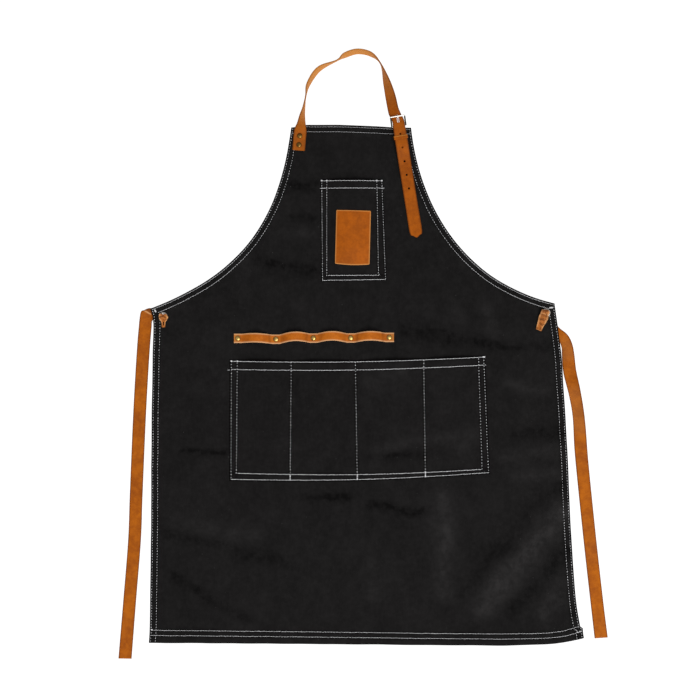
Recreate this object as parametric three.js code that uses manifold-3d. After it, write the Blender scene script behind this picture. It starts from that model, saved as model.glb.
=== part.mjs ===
// A denim bib apron with leather straps, laid flat on its back.
// Millimetres, +Z up. The front of the apron faces up, the neck points to +Y and the floor is z = 0.
import * as THREE from 'three';
import { mergeVertices } from 'three/addons/utils/BufferGeometryUtils.js';
import Module from 'manifold-3d';

const wasm = await Module();
wasm.setup();

// Shared sizes
const GAP = 0.3;
const CLOTH = 1.2;
const HEM_CLOTH = 2.4;
const STRAP_WIDTH = 19.8;
const STRAP_THICK = 2;
const CURVE_STEPS = 3;
const DRILL_SIDES = 10;
const DRILL_REACH = { low: -1, high: 30 };

// Apron panel: its six corners, its hems and the curve of the armholes
const CORNER = {
  hemLeft: { x: -331, y: -448.6 },
  hemRight: { x: 342.8, y: -441 },
  waistLeft: { x: -328.2, y: 69 },
  waistRight: { x: 296.6, y: 77 },
  bibLeft: { x: -110.6, y: 350 },
  bibRight: { x: 75.2, y: 349.6 },
};
const ARMHOLES = {
  left: { out: 16.2, down: 117.7, in: 165.9, up: 63.2 },
  right: { out: 11.8, down: 111, in: 149.1, up: 36.3 },
};
// Points on the skirt's sides between the hem and the waist
const LEFT_SIDE = [
  { x: -329.6, y: -424 },
  { x: -328.8, y: -367 },
  { x: -327.5, y: -258 },
  { x: -327.2, y: -150 },
  { x: -325.4, y: -20 },
  { x: -323.6, y: 46 },
];
const RIGHT_SIDE = [
  { x: 336.6, y: -421 },
  { x: 329, y: -367 },
  { x: 321.8, y: -258 },
  { x: 317.2, y: -150 },
  { x: 307.6, y: -6 },
];
const SIDE_HEM = 10.5;
const BOTTOM_HEM = 20;
const HEM_STEP = 1.6;
// The bottom edge sags toward its right corner, and the top edge rises toward its left one
const HEM_SAG = { depth: 14, growth: 1.15, cornerPower: 14 };
const TOP_RISE = { height: 4, reached: 0.13, level: 0.35, fadePower: 8 };
// Rows at the bottom and top edges whose hem columns follow those edges
const EDGE_ROWS = 3;
const SKIRT_ROWS = 15;
const BIB_ROWS = 13;
const PANEL_COLUMNS = 21;

// Soft folds and the raised side corners: a ridge along a line, level out to flat and gone at fade
const FOLDS = [
  { name: 'left corner', x0: -326, y0: 64, x1: -298, y1: 55, flat: 34, fade: 82, height: 6 },
  { name: 'right corner', x0: 278, y0: 66, x1: 306, y1: 30, flat: 34, fade: 82, height: 6 },
  { name: 'right hem', x0: 290, y0: -420, x1: 225, y1: -275, flat: 0, fade: 62, height: 6 },
  { name: 'hem middle', x0: 95, y0: -400, x1: 60, y1: -290, flat: 0, fade: 56, height: 4 },
  { name: 'hem left', x0: -190, y0: -395, x1: -215, y1: -290, flat: 0, fade: 56, height: 3.5 },
  { name: 'left skirt', x0: -272, y0: -190, x1: -266, y1: -80, flat: 0, fade: 46, height: 3 },
  { name: 'right skirt', x0: 258, y0: -190, x1: 252, y1: -90, flat: 0, fade: 46, height: 4 },
  { name: 'under the chest', x0: 60, y0: 78, x1: 130, y1: 88, flat: 0, fade: 40, height: 3 },
];

// Pockets: the cloth's four corners, sewn bands, seams between compartments and how far they stand open
const CHEST_POCKET = {
  topLeft: { x: -64.9, y: 269.2 },
  topRight: { x: 31.2, y: 269.2 },
  bottomLeft: { x: -63.7, y: 111.3 },
  bottomRight: { x: 37.2, y: 112.8 },
  seams: [],
  band: 8.5,
  topHem: 13,
  sag: 0,
  opening: 6.5,
};
const LOWER_POCKET = {
  topLeft: { x: -206.8, y: -10.4 },
  topRight: { x: 189.7, y: -3.9 },
  bottomLeft: { x: -205.5, y: -197.5 },
  bottomRight: { x: 197, y: -186.8 },
  seams: [0.241, 0.493, 0.757],
  band: 10,
  topHem: 14,
  sag: 4,
  opening: 6.5,
};
// Flat width at a seam, and the share of a pocket's depth at which it is fully open
const SEAM_FLAT = 4;
const FULLY_OPEN = 0.35;
const POCKET_CLOTH = 1.1;
const POCKET_HEM = 2;
const POCKET_COLUMNS = 6;
const POCKET_ROWS = 6;

// Leather patch on the chest pocket
const PATCH = { x: -15, y: 179.6, width: 53.5, height: 83, turn: -1.5, thick: 1.8, gap: 0.5 };

// Tool loops: a strip that arches up between its rivets and bows a little toward the neck
const LOOPS = { end: 7, width: 14.6, thick: 1.8, seat: 6 };
const LOOP_RIVETS = [
  { x: -193.3, y: 23.2 },
  { x: -134.3, y: 21.8 },
  { x: -76.2, y: 23.6 },
  { x: -18.4, y: 23.8 },
  { x: 41.4, y: 24.7 },
];
const ARCHES = [
  { height: 7.5, bow: 1.6 },
  { height: 9, bow: 3.6 },
  { height: 9.5, bow: 3.4 },
  { height: 9, bow: 2.9 },
];
const ARCH_STEPS = 10;

// Rivets and eyelets
const RIVET = { cap: 4, dome: 1.6, post: 1.5, back: 3.4, foot: 0.5, hole: 1.8, bed: 3.8, bedDepth: 0.65 };
const EYELET = { bore: 4.2, barrel: 4.8, flange: 7, lip: 0.9, hole: 5.4 };
const EYELETS = {
  left: { x: -308.2, y: 56.8 },
  right: { x: 283.5, y: 62.5 },
};

// Buckle: centre of the frame, with the strap's straight free end running down from it at a slant
const BUCKLE = { x: 55, y: 358.3, z: 10.5, slant: 9.2, tilt: 24, width: 25.4, length: 19, bar: 2.2, corner: 3 };
const TAB = { width: 17, thick: 1.5, lowerEnd: 46, upperEnd: 42, slot: 4, slotLength: 9, rivetAt: 33 };
const KEEPER = { at: 25, band: 5.5, wall: 1, inner: 20.6, low: 3.65, high: 12.3 };
const HOLES = { first: -1.7, pitch: 21.2, count: 6, radius: 1.6, slotLength: 7 };
const PRONG_RADIUS = 0.8;
// The prong's shank, by distance down the strap and height: under the strap, through its hole, onto the top bar
const PRONG_SHANK = [
  { at: 3.2, z: 9 },
  { at: 0.6, z: 9.5 },
  { at: -1.7, z: 11.3 },
  { at: -4, z: 14.4 },
  { at: -6, z: 16.1 },
  { at: -7.8, z: 16.6 },
  { at: -9.4, z: 16.3 },
];

// Neck strap: its middle line in plan, height of its lower edge and roll of its outer edge above the flat
const NECK_RUN = [
  { x: -99, y: 314, lift: 2.7, roll: 0 },
  { x: -97.4, y: 334, lift: 2.7, roll: 0 },
  { x: -96.6, y: 341.5, lift: 2.7, roll: 2 },
  { x: -94.8, y: 352.5, lift: 2.8, roll: 46 },
  { x: -93.2, y: 366.3, lift: 1, roll: 68 },
  { x: -90.6, y: 380.2, lift: 0, roll: 84 },
  { x: -87.9, y: 397, lift: 0, roll: 92 },
  { x: -83.8, y: 415.9, lift: 0, roll: 79 },
  { x: -67.6, y: 439.1, lift: 0, roll: 76 },
  { x: -40.2, y: 452.2, lift: 0, roll: 95 },
  { x: -27.4, y: 460.6, lift: 0, roll: 76 },
  { x: -7.8, y: 466.4, lift: 0, roll: 76 },
  { x: 13, y: 461.9, lift: 0, roll: 80 },
  { x: 27.6, y: 447.8, lift: 0, roll: 94 },
  { x: 37.4, y: 418.5, lift: 0, roll: 59 },
  { x: 43.2, y: 396.3, lift: 0.4, roll: 40 },
  { x: 48.2, y: 376, lift: 3.2, roll: 32 },
];
// The rest of it, by distance from the buckle's centre
const FREE_END = [
  { at: -7.7, lift: 9.7, roll: 0, width: STRAP_WIDTH },
  { at: 0, lift: 10.2, roll: 0, width: STRAP_WIDTH },
  { at: 7.7, lift: 10.6, roll: 0, width: STRAP_WIDTH },
  { at: 20, lift: 10, roll: 0, width: STRAP_WIDTH },
  { at: 30, lift: 9.5, roll: 0, width: STRAP_WIDTH },
  { at: 38, lift: 9.3, roll: 0, width: STRAP_WIDTH },
  { at: 50, lift: 6, roll: 0, width: STRAP_WIDTH },
  { at: 64, lift: 3.2, roll: 0, width: STRAP_WIDTH },
  { at: 82, lift: 2.7, roll: 0, width: STRAP_WIDTH },
  { at: 105, lift: 2.4, roll: 0, width: STRAP_WIDTH },
  { at: 135, lift: 1.5, roll: 0, width: STRAP_WIDTH },
  { at: 172, lift: 1.5, roll: 0, width: STRAP_WIDTH },
  { at: 178, lift: 1.5, roll: 0, width: 11 },
  { at: 181.3, lift: 1.5, roll: 0, width: 2.5 },
];
const NECK_RIVETS = [{ x: -97.3, y: 336.6 }, { x: -98.4, y: 322.6 }];

// Waist ties, from the free end to the end on the front: middle line, compass turn and tilt of the left edge
const LEFT_TIE = [
  { x: -368.1, y: -473, z: 1, turn: 179, tilt: 0, width: 20.4, thick: 2 },
  { x: -360.8, y: -382.4, z: 1, turn: 175, tilt: 0, width: 19.8, thick: 2 },
  { x: -353.4, y: -290, z: 1, turn: 177, tilt: 0, width: 19.8, thick: 2 },
  { x: -350.8, y: -220, z: 1, turn: 178, tilt: 0, width: 19.8, thick: 2 },
  { x: -346.2, y: -111, z: 1.5, turn: 177, tilt: 3, width: 19.8, thick: 2 },
  { x: -342.6, y: -42, z: 1.7, turn: 177, tilt: 4, width: 19.8, thick: 2 },
  { x: -339.2, y: 13, z: 1.7, turn: 177, tilt: 4, width: 19.8, thick: 2 },
  { x: -336.9, y: 42, z: 1.9, turn: 171, tilt: 5, width: 19.8, thick: 2 },
  { x: -334.4, y: 56, z: 2.6, turn: 142, tilt: 8, width: 23, thick: 2 },
  { x: -327.5, y: 61.5, z: 2.2, turn: 108, tilt: 5, width: 18, thick: 2.2 },
  { x: -318, y: 60.3, z: 1.7, turn: 88, tilt: 0, width: 11, thick: 2.4 },
  { x: -312, y: 58, z: 2.2, turn: 74, tilt: 0, width: 7, thick: 2.8 },
  { x: -308.4, y: 56.8, z: 5.4, turn: 48, tilt: 0, width: 5.6, thick: 2.8 },
  { x: -308.2, y: 57.1, z: 9.7, turn: 14, tilt: 0, width: 5.6, thick: 2.6 },
  { x: -307.9, y: 59, z: 12.2, turn: 0, tilt: 0, width: 11.5, thick: 2.6 },
  { x: -307.6, y: 56.6, z: 13.3, turn: 0, tilt: 0, width: 14.6, thick: 2.4 },
  { x: -307.4, y: 53, z: 12.2, turn: 0, tilt: 0, width: 12.8, thick: 2.2 },
  { x: -307.5, y: 49.8, z: 10.6, turn: 0, tilt: 0, width: 8, thick: 2 },
  { x: -307.7, y: 46.6, z: 9.5, turn: 0, tilt: 0, width: 5.8, thick: 2 },
  { x: -307.8, y: 40.3, z: 8.7, turn: 0, tilt: 0, width: 5.4, thick: 2 },
];
const RIGHT_TIE = [
  { x: 369.7, y: -440.9, z: 1, turn: 184, tilt: 0, width: 20.4, thick: 2 },
  { x: 363.6, y: -390, z: 1, turn: 187, tilt: 0, width: 19.8, thick: 2 },
  { x: 354.8, y: -312.6, z: 1, turn: 186, tilt: 0, width: 19.8, thick: 2 },
  { x: 346.6, y: -235.1, z: 1, turn: 186, tilt: 0, width: 19.8, thick: 2 },
  { x: 338.9, y: -157.6, z: 1.7, turn: 186, tilt: -4, width: 19.8, thick: 2 },
  { x: 335, y: -100, z: 5.8, turn: 188, tilt: -29, width: 19.8, thick: 2 },
  { x: 329.4, y: -63, z: 4.9, turn: 196, tilt: -23, width: 19.8, thick: 2 },
  { x: 321.6, y: -28, z: 2, turn: 190, tilt: -6, width: 19.8, thick: 2 },
  { x: 318.6, y: -2, z: 5, turn: 190, tilt: -24, width: 19.8, thick: 2 },
  { x: 316, y: 12, z: 5.2, turn: 200, tilt: -27, width: 18.6, thick: 2 },
  { x: 310.5, y: 24, z: 3.8, turn: 217, tilt: -16, width: 16.8, thick: 2 },
  { x: 299.5, y: 34.5, z: 2.2, turn: 230, tilt: -4, width: 14.5, thick: 2.2 },
  { x: 291, y: 49, z: 1.5, turn: 226, tilt: 0, width: 11, thick: 2.2 },
  { x: 286, y: 58.4, z: 1.8, turn: 218, tilt: 0, width: 7.5, thick: 2.6 },
  { x: 284, y: 62, z: 4.6, turn: 204, tilt: 0, width: 5.6, thick: 2.8 },
  { x: 283.6, y: 62.6, z: 9.8, turn: 186, tilt: 0, width: 5.6, thick: 2.6 },
  { x: 282.6, y: 65.9, z: 12.4, turn: 172, tilt: 0, width: 8.6, thick: 2.6 },
  { x: 281.4, y: 64.6, z: 14.2, turn: 166, tilt: 0, width: 12, thick: 2.4 },
  { x: 280, y: 60.8, z: 13.7, turn: 163, tilt: 0, width: 10.4, thick: 2.4 },
  { x: 278.9, y: 55.4, z: 12.5, turn: 161, tilt: 0, width: 14.2, thick: 2.4 },
  { x: 276.4, y: 47.8, z: 10.7, turn: 160, tilt: 0, width: 12.8, thick: 2.2 },
  { x: 273.9, y: 41.4, z: 9.5, turn: 159, tilt: 0, width: 10.4, thick: 2 },
  { x: 271.9, y: 35.7, z: 8.8, turn: 158, tilt: 0, width: 9.4, thick: 2 },
];

// Colours and finishes
const DENIM = { color: 0x1f1e1e, roughness: 0.9, metalness: 0 };
const LEATHER = { color: 0xad591b, roughness: 0.6, metalness: 0 };
const BRASS = { color: 0x9c7438, roughness: 0.35, metalness: 1 };
const NICKEL = { color: 0xd2ccc6, roughness: 0.25, metalness: 1 };

const radians = THREE.MathUtils.degToRad;
const { lerp, smoothstep, clamp } = THREE.MathUtils;
const point = ({ x, y }) => new THREE.Vector2(x, y);
const apron = new THREE.Group();

function add(name, geometry, finish, parent = apron) {
  const mesh = new THREE.Mesh(geometry, new THREE.MeshStandardMaterial(finish));
  mesh.name = name;
  parent.add(mesh);
  return mesh;
}

// Closed mesh from points and triangles, turned outward if its volume comes out negative
function closedMesh(points, triangles) {
  const volume = triangles.reduce((sum, [a, b, c]) => {
    return sum + points[a].dot(new THREE.Vector3().crossVectors(points[b], points[c]));
  }, 0);
  const faces = volume > 0 ? triangles : triangles.map(([a, b, c]) => [a, c, b]);
  const geometry = new THREE.BufferGeometry().setFromPoints(points);
  geometry.setIndex(faces.flat());
  return geometry;
}

// Closed sheet over a grid of points: the underside, and the same points raised by the wall's thickness
function sheet(columns, rows, underside, thickness) {
  const points = [];
  const layer = columns * rows;
  for (const side of [0, 1]) {
    for (let j = 0; j < rows; j += 1) {
      for (let i = 0; i < columns; i += 1) {
        const place = underside(i, j);
        points.push(new THREE.Vector3(place.x, place.y, place.z + side * thickness(i, j)));
      }
    }
  }
  const triangles = [];
  const quad = (a, b, c, d) => triangles.push([a, b, c], [a, c, d]);
  const at = (i, j) => j * columns + i;
  for (let j = 0; j + 1 < rows; j += 1) {
    for (let i = 0; i + 1 < columns; i += 1) {
      const [a, b, c, d] = [at(i, j), at(i + 1, j), at(i + 1, j + 1), at(i, j + 1)];
      quad(a + layer, b + layer, c + layer, d + layer);
      quad(d, c, b, a);
    }
  }
  const rim = [];
  for (let i = 0; i + 1 < columns; i += 1) rim.push(at(i, 0));
  for (let j = 0; j + 1 < rows; j += 1) rim.push(at(columns - 1, j));
  for (let i = columns - 1; i > 0; i -= 1) rim.push(at(i, rows - 1));
  for (let j = rows - 1; j > 0; j -= 1) rim.push(at(0, j));
  rim.forEach((a, k) => {
    const b = rim[(k + 1) % rim.length];
    quad(a, b, b + layer, a + layer);
  });
  return closedMesh(points, triangles);
}

// Closed strap of oblong section through frames of centre, side direction, width and thickness
function ribbon(frames) {
  const points = [];
  const triangles = [];
  const last = frames.length - 1;
  frames.forEach((frame, k) => {
    const before = frames[Math.max(k - 1, 0)].centre;
    const after = frames[Math.min(k + 1, last)].centre;
    const ahead = new THREE.Vector3().subVectors(after, before).normalize();
    const face = new THREE.Vector3().crossVectors(ahead, frame.side).normalize();
    for (const [across, up] of [[1, 1], [-1, 1], [-1, -1], [1, -1]]) {
      const corner = frame.centre.clone().addScaledVector(frame.side, (across * frame.width) / 2);
      points.push(corner.addScaledVector(face, (up * frame.thick) / 2));
    }
  });
  for (let k = 0; k < last; k += 1) {
    for (let c = 0; c < 4; c += 1) {
      const [a, b] = [4 * k + c, 4 * k + ((c + 1) % 4)];
      triangles.push([a, b, b + 4], [a, b + 4, a + 4]);
    }
  }
  const end = 4 * last;
  triangles.push([2, 1, 0], [3, 2, 0], [end, end + 1, end + 2], [end, end + 2, end + 3]);
  return closedMesh(points, triangles);
}

// Smooth rows between the rows of a table, for the named columns
function smoothRows(table, columns, steps = CURVE_STEPS) {
  const curves = columns.map((name) => {
    const knots = table.map((row) => new THREE.Vector3(row[name], 0, 0));
    return { name, curve: new THREE.CatmullRomCurve3(knots, false, 'catmullrom', 0.5) };
  });
  const count = (table.length - 1) * steps;
  return Array.from({ length: count + 1 }, (unused, k) => {
    return Object.fromEntries(curves.map(({ name, curve }) => [name, curve.getPoint(k / count).x]));
  });
}

function toManifold(geometry) {
  const bare = geometry.clone();
  for (const name of ['normal', 'uv']) bare.deleteAttribute(name);
  const merged = mergeVertices(bare, 1e-4);
  return new wasm.Manifold(new wasm.Mesh({
    numProp: 3,
    vertProperties: Float32Array.from(merged.attributes.position.array),
    triVerts: Uint32Array.from(merged.index.array),
  }));
}

function cut(geometry, tools) {
  const result = tools.reduce((solid, tool) => solid.subtract(toManifold(tool)), toManifold(geometry));
  const mesh = result.getMesh();
  const cutGeometry = new THREE.BufferGeometry();
  cutGeometry.setAttribute('position', new THREE.BufferAttribute(Float32Array.from(mesh.vertProperties), 3));
  cutGeometry.setIndex([...mesh.triVerts]);
  return cutGeometry;
}

// Upright round cutter, right through unless a lower top is given
function drill({ x, y }, radius, high = DRILL_REACH.high) {
  const { low } = DRILL_REACH;
  const geometry = new THREE.CylinderGeometry(radius, radius, high - low, DRILL_SIDES);
  geometry.rotateX(Math.PI / 2);
  return geometry.translate(x, y, (low + high) / 2);
}

function rivetHoles(place) {
  return [drill(place, RIVET.hole), drill(place, RIVET.bed, RIVET.bedDepth)];
}

// Place at a distance down the strap from the buckle's centre
function downStrap(at) {
  const slant = radians(BUCKLE.slant);
  return { x: BUCKLE.x + at * Math.sin(slant), y: BUCKLE.y - at * Math.cos(slant) };
}

// Height of the panel's underside above the floor
function lift(x, y) {
  return FOLDS.reduce((sum, fold) => {
    const start = new THREE.Vector2(fold.x0, fold.y0);
    const along = new THREE.Vector2(fold.x1, fold.y1).sub(start);
    const offset = new THREE.Vector2(x, y).sub(start);
    const share = clamp(offset.dot(along) / along.lengthSq(), 0, 1);
    const distance = offset.addScaledVector(along, -share).length();
    return sum + fold.height * (1 - smoothstep(distance, fold.flat, fold.fade));
  }, 0);
}

// Evenly spaced shares of a length, with two extra ones that mark a hem at the start
function hemShares(length, hem, count) {
  const inside = (hem + HEM_STEP) / length;
  const even = Array.from({ length: count }, (unused, k) => lerp(inside, 1, k / (count - 1)));
  return [0, hem / length, ...even];
}

// Points up one side of the panel: along the skirt's side to the waist corner, then along the armhole
function panelSide(sideCurve, armhole) {
  const skirt = hemShares(sideCurve.getLength(), BOTTOM_HEM, SKIRT_ROWS);
  const bib = hemShares(armhole.getLength(), SIDE_HEM, BIB_ROWS).map((share) => 1 - share).reverse();
  return [
    ...skirt.map((share) => sideCurve.getPointAt(share)),
    ...bib.slice(1).map((share) => armhole.getPointAt(share)),
  ];
}

// Step inward by one unit from each point of a side, mitred where the side turns and level at its two ends
function inwardSteps(points, inward) {
  const normals = points.slice(1).map((place, k) => {
    const along = place.clone().sub(points[k]).normalize();
    return new THREE.Vector2(along.y * inward, -along.x * inward);
  });
  return points.map((place, k) => {
    const first = normals[Math.max(k - 1, 0)];
    const second = normals[Math.min(k, normals.length - 1)];
    const step = first.clone().add(second).divideScalar(1 + first.dot(second));
    return Math.min(k, points.length - 1 - k) < EDGE_ROWS ? step.setY(0) : step;
  });
}

function armholeCurve(bib, waist, bend, outward) {
  return new THREE.CubicBezierCurve(
    point(waist),
    new THREE.Vector2(waist.x - outward * bend.in, waist.y + bend.up),
    new THREE.Vector2(bib.x + outward * bend.out, bib.y - bend.down),
    point(bib),
  );
}

function makePanel() {
  const leftCurve = new THREE.SplineCurve([CORNER.hemLeft, ...LEFT_SIDE, CORNER.waistLeft].map(point));
  const rightCurve = new THREE.SplineCurve([CORNER.hemRight, ...RIGHT_SIDE, CORNER.waistRight].map(point));
  const left = panelSide(leftCurve, armholeCurve(CORNER.bibLeft, CORNER.waistLeft, ARMHOLES.left, -1));
  const right = panelSide(rightCurve, armholeCurve(CORNER.bibRight, CORNER.waistRight, ARMHOLES.right, 1));
  const leftSteps = inwardSteps(left, 1);
  const rightSteps = inwardSteps(right, -1);
  const insets = [0, SIDE_HEM, SIDE_HEM + HEM_STEP];
  const columns = PANEL_COLUMNS + 2 * (insets.length - 1);
  const rows = left.length;
  const inner = insets.length - 1;
  const lastColumn = columns - 1;

  const plan = (i, j) => {
    const fromLeft = left[j].clone().addScaledVector(leftSteps[j], insets[Math.min(i, inner)]);
    const fromRight = right[j].clone().addScaledVector(rightSteps[j], insets[Math.min(lastColumn - i, inner)]);
    const across = clamp((i - inner) / (lastColumn - 2 * inner), 0, 1);
    return fromLeft.lerp(fromRight, across);
  };
  const underside = (i, j) => {
    const place = plan(i, j);
    const across = (place.x - left[j].x) / (right[j].x - left[j].x);
    const bottomWeight = (1 - clamp(j / SKIRT_ROWS, 0, 1)) ** 2;
    const topWeight = (j / (rows - 1)) ** TOP_RISE.fadePower;
    const sag = HEM_SAG.depth * across ** HEM_SAG.growth * (1 - across ** HEM_SAG.cornerPower) * bottomWeight;
    const topShape = smoothstep(across, 0, TOP_RISE.reached) * (1 - smoothstep(across, TOP_RISE.level, 1));
    const rise = TOP_RISE.height * topShape * topWeight;
    const y = place.y - (j < SKIRT_ROWS ? sag : 0) + (j > SKIRT_ROWS ? rise : 0);
    return { x: place.x, y, z: lift(place.x, y) };
  };
  const isHem = (k, count) => Math.min(k, count - 1 - k) < inner;
  const thickness = (i, j) => (isHem(i, columns) || isHem(j, rows) ? HEM_CLOTH : CLOTH);

  const rivets = [...LOOP_RIVETS, ...NECK_RIVETS, downStrap(TAB.rivetAt)];
  const holes = rivets.flatMap(rivetHoles);
  for (const place of Object.values(EYELETS)) holes.push(drill(place, EYELET.hole));
  add('apron_panel', cut(sheet(columns, rows, underside, thickness), holes), DENIM);
}

// Shares across a pocket: its sewn bands, and even steps over each compartment between the seams
function pocketColumns(pocket) {
  const width = pocket.topRight.x - pocket.topLeft.x;
  const half = SEAM_FLAT / 2 / width;
  const starts = [pocket.band / width, ...pocket.seams.map((seam) => seam + half)];
  const ends = [...pocket.seams.map((seam) => seam - half), 1 - pocket.band / width];
  const bays = starts.map((start, k) => ({ start, end: ends[k] }));
  const inside = bays.flatMap(({ start, end }) => {
    return Array.from({ length: POCKET_COLUMNS + 1 }, (unused, k) => lerp(start, end, k / POCKET_COLUMNS));
  });
  return { bays, shares: [0, ...inside, 1] };
}

function pocketRows(pocket) {
  const height = pocket.topLeft.y - pocket.bottomLeft.y;
  const start = pocket.band / height;
  const end = 1 - (pocket.topHem + HEM_STEP) / height;
  const inside = Array.from({ length: POCKET_ROWS + 1 }, (unused, k) => lerp(start, end, k / POCKET_ROWS));
  return [0, ...inside, 1 - pocket.topHem / height, 1];
}

// How far a pocket's cloth stands off the panel: nothing at its seams, most at the middle of its mouth
function pocketBulge(pocket, u, v) {
  const bay = pocketColumns(pocket).bays.find(({ start, end }) => u > start && u < end);
  if (!bay) return 0;
  const across = Math.sin((Math.PI * (u - bay.start)) / (bay.end - bay.start));
  return pocket.opening * across * smoothstep(v, pocketRows(pocket)[1], FULLY_OPEN);
}

function pocketPlace(pocket, u, v) {
  const bottom = point(pocket.bottomLeft).lerp(point(pocket.bottomRight), u);
  const top = point(pocket.topLeft).lerp(point(pocket.topRight), u);
  const place = bottom.lerp(top, v);
  return { x: place.x, y: place.y - pocket.sag * Math.sin(Math.PI * u) };
}

function makePocket(name, pocket) {
  const { shares: us } = pocketColumns(pocket);
  const vs = pocketRows(pocket);
  const underside = (i, j) => {
    const { x, y } = pocketPlace(pocket, us[i], vs[j]);
    return { x, y, z: CLOTH + GAP + pocketBulge(pocket, us[i], vs[j]) };
  };
  const folded = (i, j) => i === 0 || i === us.length - 1 || j === 0 || j >= vs.length - 2;
  const thickness = (i, j) => (folded(i, j) ? POCKET_HEM : POCKET_CLOTH);
  add(name, sheet(us.length, vs.length, underside, thickness), DENIM);
}

// The patch lies on the chest pocket and follows its bulge
function makePatch() {
  const columns = 7;
  const rows = 8;
  const turn = radians(PATCH.turn);
  const underside = (i, j) => {
    const across = (i / (columns - 1) - 0.5) * PATCH.width;
    const up = (j / (rows - 1) - 0.5) * PATCH.height;
    const x = PATCH.x + across * Math.cos(turn) - up * Math.sin(turn);
    const y = PATCH.y + across * Math.sin(turn) + up * Math.cos(turn);
    const { topLeft, bottomLeft, bottomRight, topRight } = CHEST_POCKET;
    const v = (y - bottomLeft.y) / (topLeft.y - bottomLeft.y);
    const start = lerp(bottomLeft.x, topLeft.x, v);
    const u = (x - start) / (lerp(bottomRight.x, topRight.x, v) - start);
    return { x, y, z: CLOTH + GAP + POCKET_CLOTH + PATCH.gap + pocketBulge(CHEST_POCKET, u, v) };
  };
  add('leather_patch', sheet(columns, rows, underside, () => PATCH.thick), LEATHER);
}

function makeToolLoops() {
  const rivets = LOOP_RIVETS;
  const seatHeight = CLOTH + GAP + LOOPS.thick / 2;
  const frame = (x, y, rise) => ({
    centre: new THREE.Vector3(x, y, seatHeight + rise),
    side: new THREE.Vector3(0, 1, 0),
    width: LOOPS.width,
    thick: LOOPS.thick,
  });
  const frames = [frame(rivets[0].x - LOOPS.end, rivets[0].y, 0)];
  ARCHES.forEach((arch, k) => {
    const span = rivets[k + 1].x - rivets[k].x - 2 * LOOPS.seat;
    for (let step = 0; step <= ARCH_STEPS; step += 1) {
      const share = step / ARCH_STEPS;
      const x = rivets[k].x + LOOPS.seat + share * span;
      const y = lerp(rivets[k].y, rivets[k + 1].y, share) + arch.bow * Math.sin(Math.PI * share);
      frames.push(frame(x, y, arch.height * Math.sin(Math.PI * share) ** 1.4));
    }
  });
  const lastRivet = rivets[rivets.length - 1];
  frames.push(frame(lastRivet.x + LOOPS.end, lastRivet.y, 0));
  const holes = rivets.map((place) => drill(place, RIVET.hole));
  add('tool_loop_strap', cut(ribbon(frames), holes), LEATHER);
  const top = CLOTH + GAP + LOOPS.thick + GAP / 2;
  rivets.forEach((place, k) => makeRivet(`loop_rivet_${k + 1}`, place, top));
}

// A rivet stands on the floor: flat back bedded in the cloth, post, and a domed cap that rests at seat height
function makeRivet(name, { x, y }, seat, parent = apron) {
  const profile = [
    [0, 0], [RIVET.back, 0], [RIVET.back, RIVET.foot], [RIVET.post, RIVET.foot], [RIVET.post, seat],
    [RIVET.cap, seat], [RIVET.cap * 0.95, seat + RIVET.dome * 0.5], [RIVET.cap * 0.6, seat + RIVET.dome * 0.9],
    [0, seat + RIVET.dome],
  ];
  const geometry = new THREE.LatheGeometry(profile.map(([r, z]) => new THREE.Vector2(r, z)), 12);
  geometry.rotateX(Math.PI / 2);
  const mesh = add(name, geometry, BRASS, parent);
  mesh.position.set(x, y, 0);
}

// An eyelet clasps the edge of its hole between two round lips
function makeEyelet(name, { x, y }) {
  const low = lift(x, y) - GAP / 2;
  const high = lift(x, y) + HEM_CLOTH + GAP / 2;
  const { bore, barrel, flange, lip } = EYELET;
  const profile = [
    [bore, low - lip], [flange - lip, low - lip], [flange, low], [barrel, low], [barrel, high], [flange, high],
    [flange - lip, high + lip], [bore, high + lip], [bore, low - lip],
  ];
  const geometry = new THREE.LatheGeometry(profile.map(([r, z]) => new THREE.Vector2(r, z)), 16);
  geometry.rotateX(Math.PI / 2);
  const mesh = add(name, geometry, NICKEL);
  mesh.position.set(x, y, 0);
}

function makeTie(name, table) {
  const rows = smoothRows(table, ['x', 'y', 'z', 'turn', 'tilt', 'width', 'thick']);
  const frames = rows.map((row) => {
    const [turn, tilt] = [radians(row.turn), radians(row.tilt)];
    const level = Math.cos(tilt);
    const side = new THREE.Vector3(Math.cos(turn) * level, Math.sin(turn) * level, Math.sin(tilt));
    const reach = (row.width / 2) * Math.abs(side.z) + (row.thick / 2) * level;
    return {
      centre: new THREE.Vector3(row.x, row.y, Math.max(row.z, reach)),
      side,
      width: row.width,
      thick: row.thick,
    };
  });
  add(name, ribbon(frames), LEATHER);
}

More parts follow.
